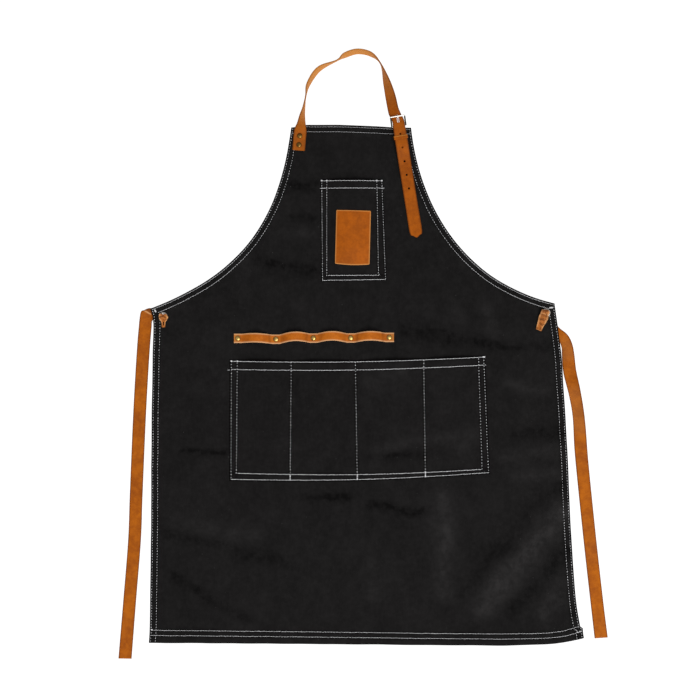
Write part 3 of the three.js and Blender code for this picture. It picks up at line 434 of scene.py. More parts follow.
def waves(x, y, size, seed):
    """Smooth noise from -1 to 1 over places, with bumps of about that size."""
    values = [noise.noise((a / size, b / size, seed)) for a, b in zip(np.ravel(x), np.ravel(y))]
    return np.array(values).reshape(np.shape(x))


def relief(x, y, layers):
    """Sum of layers of noise over places."""
    return sum(height * (offset + waves(x, y, size, seed)) for height, offset, size, seed in layers)


def puckers(distance, run, middle, reach, pitch, sway, size, seed):
    """Ridges across an edge, from -1 to 1, whose pitch sways along its run."""
    phase = 2 * math.pi * run / pitch + sway * waves(run, run * 0, size, seed)
    return dip(distance - middle, reach) * np.sin(phase)


def rounded(rim, edge):
    """How far a rounded edge's underside tucks up, and the share of its wall, at a distance from the rim."""
    share = np.sqrt(1 - (1 - np.clip(rim / edge["radius"], 0, 1)) ** 2)
    return edge["tuck"] * (1 - share), mix(edge["wall"], 1, share)


def smooth_rows(table, steps, ends_rest=False):
    """The rows of a table with smooth rows between them, each column on its own Catmull-Rom curve."""
    rows = np.array(table, float)
    before, after = 2 * rows[0] - rows[1], 2 * rows[-1] - rows[-2]
    if ends_rest:
        before, after = rows[0], rows[-1]
    knots = np.vstack([before, rows, after])
    made = []
    for k in range(len(rows) - 1):
        a, b, c, d = knots[k:k + 4]
        for t in np.arange(steps) / steps:
            slope_in, slope_out = (c - a) / 2, (d - b) / 2
            made.append(
                b + slope_in * t
                + (3 * (c - b) - 2 * slope_in - slope_out) * t ** 2
                + (2 * (b - c) + slope_in + slope_out) * t ** 3
            )
    return np.array(made + [rows[-1]])


def length_of(line):
    return float(np.linalg.norm(np.diff(np.asarray(line), axis=0), axis=1).sum())


def resampled(line, distances):
    """Points of a line at distances along it."""
    line = np.asarray(line, float)
    run = np.concatenate([[0], np.cumsum(np.linalg.norm(np.diff(line, axis=0), axis=1))])
    return np.column_stack([np.interp(distances, run, line[:, k]) for k in range(line.shape[1])])


def near_then_even(near, length, count):
    """Distances from one edge: the near ones, then even steps up to the whole length."""
    return np.concatenate([near, np.linspace(near[-1], length, count + 1)[1:]])


def near_both_ends(near, length, count):
    """Distances across a length with the near lines at both ends and even steps between them."""
    near = np.array(near, float)
    middle = np.linspace(near[-1], length - near[-1], count + 2)[1:-1]
    return np.concatenate([near, middle, length - near[::-1]])


# Pieces


def ride(name, data, material, stands_for=()):
    """An object for finished mesh data in metres, riding on the apron and taking the place of CAD nodes."""
    data.shade_smooth()
    data.materials.append(material)
    made = bpy.data.objects.new(name, data)
    bpy.context.scene.collection.objects.link(made)
    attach(made, "root")
    if stands_for:
        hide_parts(*stands_for)
    return made


def piece(name, mesh, material, stands_for=()):
    """An object for a bmesh in millimetres."""
    bmesh.ops.scale(mesh, vec=(MM, MM, MM), verts=mesh.verts)
    data = bpy.data.meshes.new(name)
    mesh.to_mesh(data)
    mesh.free()
    return ride(name, data, material, stands_for)


def grid_of(rows, columns, marks):
    """A grid of faces whose corners know their place in it, with named numbers at each corner."""
    mesh = bmesh.new()
    bmesh.ops.create_grid(mesh, x_segments=columns - 1, y_segments=rows - 1, size=1)
    spot = mesh.verts.layers.int.new("spot")
    layers = [(mesh.verts.layers.float.new(name), np.ravel(values)) for name, values in marks.items()]
    for vert in mesh.verts:
        i = round((vert.co.x + 1) / 2 * (columns - 1))
        j = round((vert.co.y + 1) / 2 * (rows - 1))
        vert[spot] = j * columns + i
        for layer, values in layers:
            vert[layer] = values[vert[spot]]
    return mesh, spot


def closed_sheet(under, wall, marks):
    """A sheet over a grid of underside places, raised by its wall at each and closed round its rim."""
    rows, columns = wall.shape
    mesh, spot = grid_of(rows, columns, marks)
    places, walls = under.reshape(-1, 3), wall.ravel()
    for vert in mesh.verts:
        vert.co = places[vert[spot]]
    raised = bmesh.ops.extrude_face_region(mesh, geom=mesh.faces[:], use_keep_orig=True)
    for part in raised["geom"]:
        if isinstance(part, bmesh.types.BMVert):
            part.co.z += walls[part[spot]]
    mesh.verts.layers.int.remove(spot)
    bmesh.ops.recalc_face_normals(mesh, faces=mesh.faces)
    return mesh


def closed_tube(rings, marks, looped=False):
    """A tube through rings of points, closed at its ends, or end to end where it is looped."""
    rings = np.asarray(rings, float)
    count, around = rings.shape[:2]
    turns = count + 1 if looped else count
    wrapped = {name: np.pad(np.asarray(values, float), ((0, turns - count), (0, 1)), "wrap")
               for name, values in marks.items()}
    mesh, spot = grid_of(turns, around + 1, wrapped)
    for vert in mesh.verts:
        j, i = divmod(vert[spot], around + 1)
        vert.co = rings[j % count, i % around]
    mesh.verts.layers.int.remove(spot)
    bmesh.ops.remove_doubles(mesh, verts=mesh.verts, dist=1e-4)
    rims = [edge for edge in mesh.edges if edge.is_boundary]
    if rims:
        bmesh.ops.holes_fill(mesh, edges=rims, sides=0)
        for edge in rims:
            edge.smooth = False
    bmesh.ops.recalc_face_normals(mesh, faces=mesh.faces)
    return mesh


def turned(profile, place, marks):
    """A round solid from a profile of radius and height, turned about an upright axis at a place."""
    mesh = bmesh.new()
    layer = mesh.verts.layers.float.new("wear")
    verts = []
    for (radius, height), mark in zip(profile, marks):
        vert = mesh.verts.new((place[0] + radius, place[1], height))
        vert[layer] = mark
        verts.append(vert)
    edges = [mesh.edges.new(pair) for pair in zip(verts, verts[1:])]
    bmesh.ops.spin(mesh, geom=verts + edges, cent=(place[0], place[1], 0), axis=(0, 0, 1),
                   angle=2 * math.pi, steps=ROUND_STEPS, use_merge=True)
    bmesh.ops.remove_doubles(mesh, verts=mesh.verts, dist=1e-4)
    bmesh.ops.recalc_face_normals(mesh, faces=mesh.faces)
    return mesh


def drill(places, radius):
    """Upright round cutters."""
    cutter = bmesh.new()
    for x, y in places:
        bmesh.ops.create_cone(cutter, cap_ends=True, segments=DRILL["sides"], radius1=radius, radius2=radius,
                              depth=DRILL["depth"], matrix=Matrix.Translation((x, y, 0)))
    return cutter


def slot_cutter(x, y, turn, width, length, low, high):
    """An upright oblong cutter."""
    cutter = bmesh.new()
    size = Matrix.Diagonal((width, length, high - low, 1))
    place = Matrix.Translation((x, y, (low + high) / 2)) @ Matrix.Rotation(math.radians(turn), 4, "Z")
    bmesh.ops.create_cube(cutter, size=1, matrix=place @ size)
    return cutter


def cut(mesh, *cutters):
    """The mesh with each cutter taken out of it by Blender's boolean."""
    for cutter in cutters:
        scratch = []
        for shape in (mesh, cutter):
            data = bpy.data.meshes.new("scratch")
            shape.to_mesh(data)
            scratch.append(bpy.data.objects.new("scratch", data))
            bpy.context.scene.collection.objects.link(scratch[-1])
        target, tool = scratch
        boolean = target.modifiers.new("cut", "BOOLEAN")
        boolean.object = tool
        boolean.operation = "DIFFERENCE"
        boolean.solver = "EXACT"
        result = target.evaluated_get(bpy.context.evaluated_depsgraph_get()).to_mesh()
        mesh.clear()
        mesh.from_mesh(result)
        cutter.free()
        for thing in scratch:
            data = thing.data
            bpy.data.objects.remove(thing)
            bpy.data.meshes.remove(data)
    return mesh


# Materials


class Look:
    """A material and a short way to add each kind of node that it uses."""

    def __init__(self, name, **numbers):
        self.material = bpy.data.materials.new(name)
        self.material.use_nodes = True
        self.tree = self.material.node_tree
        self.shader = self.tree.nodes["Principled BSDF"]
        for socket, value in numbers.items():
            self.shader.inputs[socket.replace("_", " ")].default_value = value
        self.place = self.add("ShaderNodeTexCoord").outputs["Object"]

    def add(self, kind, inputs=None, **settings):
        node = self.tree.nodes.new(kind)
        for key, value in settings.items():
            setattr(node, key, value)
        for key, value in (inputs or {}).items():
            self.feed(node.inputs[key], value)
        return node

    def feed(self, socket, value):
        if isinstance(value, bpy.types.NodeSocket):
            self.tree.links.new(value, socket)
        else:
            socket.default_value = value

    def finish(self, colour, bump=None, roughness=None):
        self.feed(self.shader.inputs["Base Color"], colour)
        if roughness is not None:
            self.feed(self.shader.inputs["Roughness"], roughness)
        if bump is not None:
            self.feed(self.shader.inputs["Normal"], bump)
        return self.material

    def mapped(self, scale=(1, 1, 1), turn=0.0):
        inputs = {"Vector": self.place, "Scale": scale, "Rotation": (0, 0, math.radians(turn))}
        return self.add("ShaderNodeMapping", inputs).outputs[0]

    def noise(self, scale, detail=3.0, roughness=0.55, vector=None):
        inputs = {"Vector": vector or self.place, "Scale": scale, "Detail": detail, "Roughness": roughness}
        return self.add("ShaderNodeTexNoise", inputs).outputs["Fac"]

    def cells(self, scale):
        inputs = {"Vector": self.place, "Scale": scale}
        return self.add("ShaderNodeTexVoronoi", inputs, feature="SMOOTH_F1").outputs["Distance"]

    def bands(self, pitch, turn, distortion):
        """Sine bands a pitch in millimetres apart, running across a turned x axis."""
        inputs = {"Vector": self.mapped(turn=turn), "Scale": math.pi / 10 / (pitch * MM),
                  "Distortion": distortion, "Detail": 2.0, "Detail Scale": 0.6}
        return self.add("ShaderNodeTexWave", inputs, wave_type="BANDS", bands_direction="X").outputs["Fac"]

    def mark(self, name):
        return self.add("ShaderNodeAttribute", attribute_name=name).outputs["Fac"]

    def sum(self, *pairs):
        """Weighted sum of sockets."""
        total = None
        for socket, weight in pairs:
            inputs = {0: socket, 1: weight, 2: total if total is not None else 0.0}
            total = self.add("ShaderNodeMath", inputs, operation="MULTIPLY_ADD").outputs[0]
        return total

    def times(self, a, b):
        return self.add("ShaderNodeMath", {0: a, 1: b}, operation="MULTIPLY").outputs[0]

    def range(self, value, low, high, to_low=0.0, to_high=1.0):
        inputs = {"Value": value, "From Min": low, "From Max": high, "To Min": to_low, "To Max": to_high}
        return self.add("ShaderNodeMapRange", inputs, interpolation_type="SMOOTHSTEP").outputs[0]

    def blend(self, share, a, b):
        """From colour a at 0 to colour b at 1."""
        node = self.add("ShaderNodeMix", data_type="RGBA")
        self.feed(node.inputs[0], share)
        self.feed(node.inputs[6], a)
        self.feed(node.inputs[7], b)
        return node.outputs[2]

    def bump(self, height, depth, strength=1.0, over=None):
        """A bump of that depth in millimetres, over another one."""
        inputs = {"Height": height, "Distance": depth * MM, "Strength": strength}
        if over is not None:
            inputs["Normal"] = over
        return self.add("ShaderNodeBump", inputs).outputs[0]


def rgb(red, green, blue):
    """A linear colour from the red, green and blue of a picture, 0 to 255."""
    parts = []
    for value in (red, green, blue):
        share = value / 255
        parts.append(share / 12.92 if share <= 0.04045 else ((share + 0.055) / 1.055) ** 2.4)
    return (*parts, 1.0)


def black_denim():
    """Black twill with slubs along the warp, uneven wash, wrinkles with wear and a painted highlight on their
    ridges and painted shade in their troughs, painted shade at the rim and along the stitch rows, and lint.
    """
    look = Look("black_denim", Roughness=0.9, Specular_IOR_Level=0.1)
    twill = look.bands(1.0, 58, 1.6)
    warp = look.bands(0.55, 0, 1.0)
    yarns = look.noise(1.0, 4, 0.6, look.mapped(scale=(1500, 110, 400)))
    slubs = look.noise(1.0, 3, 0.6, look.mapped(scale=(430, 60, 120)))
    wash = look.noise(11, 5, 0.6)
    cloud = look.noise(46, 4, 0.6)
    mottle = look.noise(150, 3, 0.6)
    lint = look.range(look.noise(420, 1, 0.4), 0.8, 0.86)
    weave = look.sum((twill, 0.035), (warp, 0.015), (yarns, 0.09), (slubs, 0.11))
    uneven = look.sum((look.range(wash, 0.35, 0.75), 0.05), (look.range(cloud, 0.35, 0.75), 0.06),
                      (look.range(mottle, 0.35, 0.7), 0.06))
    # Painted shade: the cloth darkens within 2 mm of its rim
    turn = look.range(look.mark("rim"), 0.2, 2.0, 1.0, 0.0)
    # The worn mark is wear with a painted highlight on wrinkle ridges, and painted shade in their troughs
    worn = look.times(look.mark("worn"), look.range(look.noise(95, 4, 0.65), 0.36, 0.64, 0.55, 1.35))
    # The seam mark paints shade along the stitch rows
    share = look.sum((weave, 0.68), (uneven, 0.85), (worn, 0.2), (turn, -0.12), (look.mark("seam"), -0.1))
    cloth = look.blend(share, rgb(7, 6, 6), rgb(66, 64, 64))
    colour = look.blend(look.times(lint, 0.4), cloth, rgb(120, 120, 118))
    ribs = look.bump(look.sum((twill, 0.7), (warp, 0.3)), 0.16)
    return look.finish(colour, look.bump(look.sum((yarns, 0.5), (slubs, 0.5)), 0.16, over=ribs))


# Brown of the painted shade in leather dips and dents and beside folds
SHADE_BROWN = (88, 40, 8)


def tan_leather(name, tan, shade, edge, pale=(188, 120, 54), suede=(156, 96, 44)):
    """Tan leather: cloudy dye, pores, an edge of its own colour, pale marks that are partly painted light,
    painted shade in creases and dips, a flesh side.
    """
    look = Look(name, Specular_IOR_Level=0.1)
    cloud = look.noise(17, 5, 0.62)
    patches = look.noise(75, 4, 0.6)
    streak = look.noise(1.0, 3, 0.5, look.mapped(scale=(260, 34, 120)))
    pores = look.cells(820)
    grain = look.noise(1900, 3, 0.6)
    flecks = look.noise(300, 3, 0.6)
    dye = look.sum((look.range(cloud, 0.3, 0.72), 0.4), (look.range(patches, 0.32, 0.7), 0.5),
                   (streak, 0.2), (look.range(flecks, 0.3, 0.7), 0.12), (pores, 0.12))
    colour = look.blend(dye, rgb(*shade), rgb(*tan))
    # The pale mark: worn and cut edges, and painted light where leather is rolled, lifted or ridged
    colour = look.blend(look.times(look.mark("pale"), 0.85), colour, rgb(*pale))
    colour = look.blend(look.times(look.mark("flesh"), 0.75), colour, rgb(*suede))
    colour = look.blend(look.times(look.mark("edge"), 0.95), colour, rgb(*edge))
    # Painted shade in dips, dents and beside folds
    colour = look.blend(look.times(look.mark("painted_shade"), 0.8), colour, rgb(*SHADE_BROWN))
    roughness = look.range(look.sum((cloud, 0.5), (grain, 0.5)), 0.3, 0.7, 0.5, 0.72)
    creases = look.bump(look.noise(130, 4, 0.6), 0.28)
    fine = look.bump(look.sum((pores, 0.6), (grain, 0.4)), 0.1, over=creases)
    return look.finish(colour, fine, roughness)


def worn_metal(name, bright, dull, low, high, scratch, tarnished=False):
    """Metal with a dull film, or tarnish without gloss, that wears off by its mark, and fine scratches."""
    look = Look(name, Metallic=1.0, Specular_IOR_Level=0.2)
    film = look.noise(260, 4, 0.65)
    share = look.sum((look.range(film, 0.3, 0.7), 0.45), (look.mark("wear"), 0.6))
    scratches = look.noise(1.0, 2, 0.5, look.mapped(scale=(900, 5200, 900), turn=24))
    roughness = look.range(look.sum((film, 0.6), (scratches, 0.4)), 0.3, 0.7, low, high)
    if tarnished:
        look.feed(look.shader.inputs["Metallic"], look.range(share, 0.2, 0.6))
    colour = look.blend(share, rgb(*dull), rgb(*bright))
    return look.finish(colour, look.bump(scratches, scratch), roughness)


def white_thread():
    """Cotton thread, a little greyer on some stitches, with the twist of its strands."""
    look = Look("white_thread", Roughness=0.85, Specular_IOR_Level=0.15)
    fuzz = look.noise(2600, 2, 0.6)
    share = look.sum((look.mark("tone"), 0.75), (fuzz, 0.25))
    twist = look.bump(look.bands(0.42, 32, 0.4), 0.1)
    return look.finish(look.blend(share, rgb(118, 118, 120), rgb(250, 250, 252)), twist)


def pale_floor():
    look = Look("pale_floor", Roughness=0.9, Specular_IOR_Level=0.1, Emission_Color=rgb(255, 255, 255),
                Emission_Strength=0.98)
    return look.finish(look.blend(look.noise(3, 2), rgb(110, 110, 110), rgb(114, 114, 114)))


DENIM = black_denim()
TIE_LEATHER = tan_leather("tie_leather", (182, 97, 10), (138, 64, 3), (118, 58, 8), pale=(224, 168, 112))
NECK_LEATHER = tan_leather("neck_leather", (170, 86, 8), (126, 58, 3), (104, 52, 12), pale=(206, 136, 58))
LOOP_LEATHER = tan_leather("loop_leather", (196, 107, 24), (150, 72, 8), (228, 176, 128))
PATCH_LEATHER = tan_leather("patch_leather", (176, 89, 11), (138, 67, 6), (214, 144, 76))
BRASS = worn_metal("antique_brass", (226, 186, 108), (84, 60, 24), 0.24, 0.46, 0.01)
OLD_BRASS = worn_metal("old_brass", (150, 112, 56), (58, 38, 14), 0.3, 0.5, 0.01)
NICKEL = worn_metal("nickel", (214, 208, 200), (100, 94, 86), 0.18, 0.34, 0.006)
BUCKLE_NICKEL = worn_metal("buckle_nickel", (252, 247, 238), (44, 38, 24), 0.34, 0.5, 0.006, tarnished=True)
THREAD = white_thread()


# Apron panel


def lift(x, y):
    """Height of the panel's underside above the floor."""
    total = np.zeros(np.shape(x))
    for x0, y0, x1, y1, flat, fade, height in FOLDS:
        total = total + height * (1 - smoothstep(from_segment(x, y, x0, y0, x1, y1), flat, fade))
    return total


def wrinkles(x, y):
    """Height of the wrinkles at places, and how much paler their cloth is painted: wear and a painted
    highlight on ridges, painted shade in troughs.
    """
    bent_x, bent_y = (
        place + WRINKLE_BEND["by"] * waves(x, y, WRINKLE_BEND["size"], WRINKLE_BEND[seed])
        for place, seed in ((x, "x_seed"), (y, "y_seed"))
    )
    patchy = 1 + WRINKLE_PATCHES["share"] * waves(x, y, WRINKLE_PATCHES["size"], WRINKLE_PATCHES["seed"])
    height, worn = np.zeros(np.shape(x)), np.zeros(np.shape(x))
    for x0, y0, x1, y1, width, rise, pale in WRINKLES:
        shape = patchy * dip(from_segment(bent_x, bent_y, x0, y0, x1, y1), width)
        height = height + rise * shape
        worn = worn + pale * shape
    return height, worn


def looseness(x, y):
    """One where the cloth is free to ripple, nothing where another piece lies on it."""
    free = np.ones(np.shape(x))
    for x0, y0, x1, y1 in STILL_PLACES:
        away_x, away_y = np.maximum(x0 - x, x - x1), np.maximum(y0 - y, y - y1)
        away = np.hypot(np.maximum(away_x, 0), np.maximum(away_y, 0))
        free = free * smoothstep(away, *STILL_FADE)
    return free


def armhole(bib, waist, bend, outward):
    """The armhole's curve from the waist corner up to the bib corner."""
    a = np.array(waist)
    b = a + (-outward * bend["in"], bend["up"])
    d = np.array(bib)
    c = d + (outward * bend["out"], -bend["down"])
    t = np.linspace(0, 1, 200)[:, None]
    return a * (1 - t) ** 3 + 3 * b * t * (1 - t) ** 2 + 3 * c * t ** 2 * (1 - t) + d * t ** 3


def panel_side(skirt_line, armhole_line, inward):
    """Points up one side of the panel, the step that moves each a millimetre inward, and its run."""
    skirt_length, bib_length = length_of(skirt_line), length_of(armhole_line)
    skirt_at = near_then_even(BOTTOM_NEAR, skirt_length, SKIRT_ROWS)
    bib_at = bib_length - near_then_even(TOP_NEAR, bib_length, BIB_ROWS)[::-1]
    parts, steps = [], []
    for line, at in ((skirt_line, skirt_at), (armhole_line, bib_at)):
        points = resampled(line, at)
        ahead = np.gradient(points, axis=0)
        ahead /= np.linalg.norm(ahead, axis=1)[:, None]
        parts.append((points, ahead))
        steps.append(inward * np.column_stack([ahead[:, 1], -ahead[:, 0]]))
    (skirt, skirt_ahead), (bib, bib_ahead) = parts
    half_turn = math.acos(float(np.dot(skirt_ahead[-1], bib_ahead[0]))) / 2
    for ahead, step, away, way in (
        (skirt_ahead, steps[0], skirt_length - skirt_at, -1),
        (bib_ahead, steps[1], bib_at, 1),
    ):
        fade = np.clip(1 - away / CORNER_REACH, 0, 1)[:, None]
        step += way * math.tan(half_turn) * fade * ahead
    for ahead, step, away in (
        (skirt_ahead, steps[0], skirt_at),
        (bib_ahead, steps[1], bib_length - bib_at),
    ):
        fade = np.clip(1 - away / END_REACH, 0, 1)
        step -= (fade * step[:, 1] / ahead[:, 1])[:, None] * ahead
    run = np.concatenate([skirt_at, skirt_length + bib_at[1:]])
    return np.vstack([skirt, bib[1:]]), np.vstack([steps[0], steps[1][1:]]), run


def hem_thickness(distance, hem, rows):
    """Extra thickness of a turned hem at a distance from its edge, pulled down along its stitch rows."""
    folded = 1 - smoothstep(distance, hem - HEM_FOLD["before"], hem + HEM_FOLD["after"])
    between = np.clip((distance - rows[0]) / (rows[1] - rows[0]), 0, 1)
    extra = (HEM_CLOTH - CLOTH) * folded + HEM_FOLD["crown"] * np.sin(math.pi * between)
    for row in rows:
        extra = extra - HEM_FOLD["groove"] * dip(distance - row, HEM_FOLD["groove_width"])
    return extra


def panel_shape():
    """Plan of the panel's grid, distances of its places from the sides, bottom and top, and its run."""
    left_line = smooth_rows([HEM_LEFT, *LEFT_SIDE, WAIST_LEFT], 40, ends_rest=True)
    right_line = smooth_rows([HEM_RIGHT, *RIGHT_SIDE, WAIST_RIGHT], 40, ends_rest=True)
    left_armhole = armhole(BIB_LEFT, WAIST_LEFT, LEFT_ARMHOLE, -1)
    right_armhole = armhole(BIB_RIGHT, WAIST_RIGHT, RIGHT_ARMHOLE, 1)
    left, left_step, left_run = panel_side(left_line, left_armhole, 1)
    right, right_step, right_run = panel_side(right_line, right_armhole, -1)
    grows = np.clip(right_run / HEM_END["low"], 0, 1)
    right[:, 0] += HEM_END["out"] * (grows * (1 - smoothstep(right_run, HEM_END["low"], HEM_END["high"])))
    for points, step, run, seed in ((left, left_step, left_run, 1.0), (right, right_step, right_run, 2.0)):
        points += step * SIDE_SWAY["by"] * waves(run, run * 0, SIDE_SWAY["size"], seed)[:, None]

    near = np.array(SIDE_NEAR, float)
    reach = near[-1]
    shares = np.linspace(0, 1, INNER_COLUMNS + 2)[1:-1]
    inner_left, inner_right = left + reach * left_step, right + reach * right_step
    columns = [left + inset * left_step for inset in near]
    columns += [mix(inner_left, inner_right, share) for share in shares]
    columns += [right + inset * right_step for inset in near[::-1]]
    plan = np.stack(columns, axis=1)
    rows = plan.shape[0]
    bottom_rows = len(BOTTOM_NEAR) + SKIRT_ROWS

    across_row = np.concatenate([near, np.full(INNER_COLUMNS, FAR), near[::-1]])
    from_side = across_row[None, :] * np.ones((rows, 1))
    from_bottom, from_top = np.full((rows, 1), FAR), np.full((rows, 1), FAR)
    from_bottom[:len(BOTTOM_NEAR), 0] = BOTTOM_NEAR
    from_top[rows - len(TOP_NEAR):, 0] = TOP_NEAR[::-1]

    x, y = plan[..., 0], plan[..., 1]
    across = np.clip((x - left[:, :1]) / (right[:, :1] - left[:, :1]), 0, 1)
    waist_run = left_run[bottom_rows - 1]
    up_skirt = np.clip(left_run / waist_run, 0, 1)[:, None]
    up_bib = np.clip((left_run - waist_run) / (left_run[-1] - waist_run), 0, 1)[:, None]
    corner_fade = 1 - across ** HEM_SAG["corner_power"]
    sag = HEM_SAG["depth"] * across ** HEM_SAG["growth"] * corner_fade * (1 - up_skirt) ** 2
    rise_fade = np.where(up_bib > 0, (0.5 + 0.5 * up_bib) ** TOP_RISE["fade_power"], 0)
    top_shape = smoothstep(across, 0, TOP_RISE["reached"]) * (1 - smoothstep(across, TOP_RISE["level"], 1))
    rise = TOP_RISE["height"] * top_shape * rise_fade
    near_ends = RAGGED["bottom"] * dip(from_bottom, RAGGED["bottom_fade"]) + dip(from_top, RAGGED["top_fade"])
    ragged = RAGGED["by"] * waves(x, y * 0, RAGGED["size"], RAGGED["seed"]) * near_ends
    y = y - sag + rise + ragged
    return x, y, from_side, from_bottom, from_top, left_run


def panel():
    """The panel's cloth, with its grid of places for the stitch rows."""
    x, y, from_side, from_bottom, from_top, run = panel_shape()
    rim = np.minimum(np.minimum(from_side, from_bottom), from_top)
    tuck, wall_share = rounded(rim, PANEL_EDGE)
    hems = [
        hem_thickness(from_side, SIDE_HEM, SIDE_ROWS),
        hem_thickness(from_bottom, BOTTOM_HEM, BOTTOM_ROWS) + 0 * from_side,
        hem_thickness(from_top, SIDE_HEM, TOP_ROWS) + 0 * from_side,
    ]
    free = looseness(x, y)
    # worn: wear with a painted highlight on wrinkle ridges, painted shade in their troughs
    creased, worn = wrinkles(x, y)
    ripple = free * np.maximum(relief(x, y, RIPPLES) + creased, 0)
    side_pucker = puckers(from_side, run[:, None] + 0 * x, *SIDE_PUCKER)
    pucker = PUCKER["height"] * (puckers(from_bottom, x, *BOTTOM_PUCKER) + PUCKER["side"] * side_pucker)
    pucker = pucker * mix(PUCKER["held"], 1, free)
    turned_up = HEM_STEP * smoothstep(rim, SIDE_HEM, SIDE_HEM + 1)
    under = lift(x, y) + ripple + turned_up + tuck
    wall = CLOTH - turned_up + np.max(hems, axis=0) + HEM_LAP * np.median(hems, axis=0)
    wall = wall * wall_share + np.maximum(pucker, -PUCKER["deepest"])
    places = np.stack([x, y, under], axis=-1)
    # Painted shade along the stitch rows, carried in the seam mark
    seam = 0 * x
    for distance, rows in ((from_side, SIDE_ROWS), (from_bottom, BOTTOM_ROWS), (from_top, TOP_ROWS)):
        for row in rows:
            seam = np.maximum(seam, dip(distance - row, PANEL_SHADE))
    mesh = closed_sheet(places, wall, {"rim": np.minimum(rim, RIM_REACH), "worn": worn, "seam": seam})
    return cut(mesh, drill([EYELET_LEFT, EYELET_RIGHT], EYELET["hole"])), places


# Pockets


def pocket_size(pocket):
    """Width and height of a pocket, by its top and left edges."""
    top_left, top_right = pocket["top"]
    return top_right[0] - top_left[0], top_left[1] - pocket["bottom"][0][1]


def pocket_place(pocket, u, v):
    top = [mix(pocket["top"][0][k], pocket["top"][1][k], u) for k in (0, 1)]
    bottom = [mix(pocket["bottom"][0][k], pocket["bottom"][1][k], u) for k in (0, 1)]
    sag = pocket["sag"] * np.sin(math.pi * u) * (1.4 - 0.4 * v)
    return mix(bottom[0], top[0], v), mix(bottom[1], top[1], v) - sag


def pocket_bulge(pocket, u, v):
    """How far a pocket's cloth stands off the panel: nothing at its seams, most at its mouth."""
    width, height = pocket_size(pocket)
    half = SEAM_FLAT / 2 / width
    seams = [mix(low, high, v) for high, low in pocket["seams"]]
    starts = [pocket["band"] / width, *(seam + half for seam in seams)]
    ends = [*(seam - half for seam in seams), 1 - pocket["band"] / width]
    across = np.zeros(np.shape(u))
    for start, end in zip(starts, ends):
        inside = np.clip((u - start) / (end - start), 0, 1)
        across = across + np.sin(math.pi * inside)
    return pocket["opening"] * across * smoothstep(v, pocket["band"] / height, FULLY_OPEN)


def pocket(pocket_table, rows):
    """A patch pocket with turned borders, pulled down along its stitch rows and open at its mouth."""
    width, height = pocket_size(pocket_table)
    across = near_both_ends(POCKET_NEAR, width, pocket_table["columns"])
    up = near_both_ends(POCKET_NEAR, height, pocket_table["rows"])
    u, v = np.meshgrid(across / width, up / height)
    x, y = pocket_place(pocket_table, u, v)
    left, right, low, high = u * width, (1 - u) * width, v * height, (1 - v) * height
    rim = np.minimum(np.minimum(left, right), np.minimum(low, high))
    left_row, right_row = mix(*rows["left"][::-1], v), mix(*rows["right"][::-1], v)
    low_row = mix(*rows["bottom"], u)
    borders = [left - left_row, right - right_row, low - low_row, high - pocket_table["top_hem"]]
    turned_in = np.max([1 - smoothstep(border, *BORDER_FADE) for border in borders], axis=0)
    thick = mix(POCKET_CLOTH, POCKET_HEM, turned_in)
    lines = [rim - rows["outer"], left - left_row, right - right_row, low - low_row, high - rows["second"]]
    lines += [(u - mix(bottom, top, v)) * width for top, bottom in pocket_table["seams"]]
    groove = np.max([dip(line, POCKET_GROOVE["width"]) for line in lines], axis=0)
    tuck, wall_share = rounded(rim, POCKET_EDGE)
    bulge = pocket_bulge(pocket_table, u, v)
    # worn: wear with a painted highlight on wrinkle ridges, painted shade in their troughs
    creased, worn = wrinkles(x, y)
    slack = bulge / pocket_table["opening"] * (relief(x, y, POCKET_SLACK) + creased)
    pucker = PUCKER["pocket"] * puckers(low, x, *POCKET_PUCKER)
    under = CLOTH + GAP + bulge + slack + tuck
    wall = thick - POCKET_GROOVE["depth"] * groove + np.maximum(pucker, -PUCKER["pocket_deepest"])
    wall = wall * wall_share
    # Painted shade along the stitch rows, carried in the seam mark
    seam = np.max([dip(line, POCKET_SHADE) for line in lines], axis=0)
    marks = {"rim": np.minimum(rim, RIM_REACH), "worn": worn, "seam": seam}
    return closed_sheet(np.stack([x, y, under], axis=-1), wall, marks)


# Leather patch


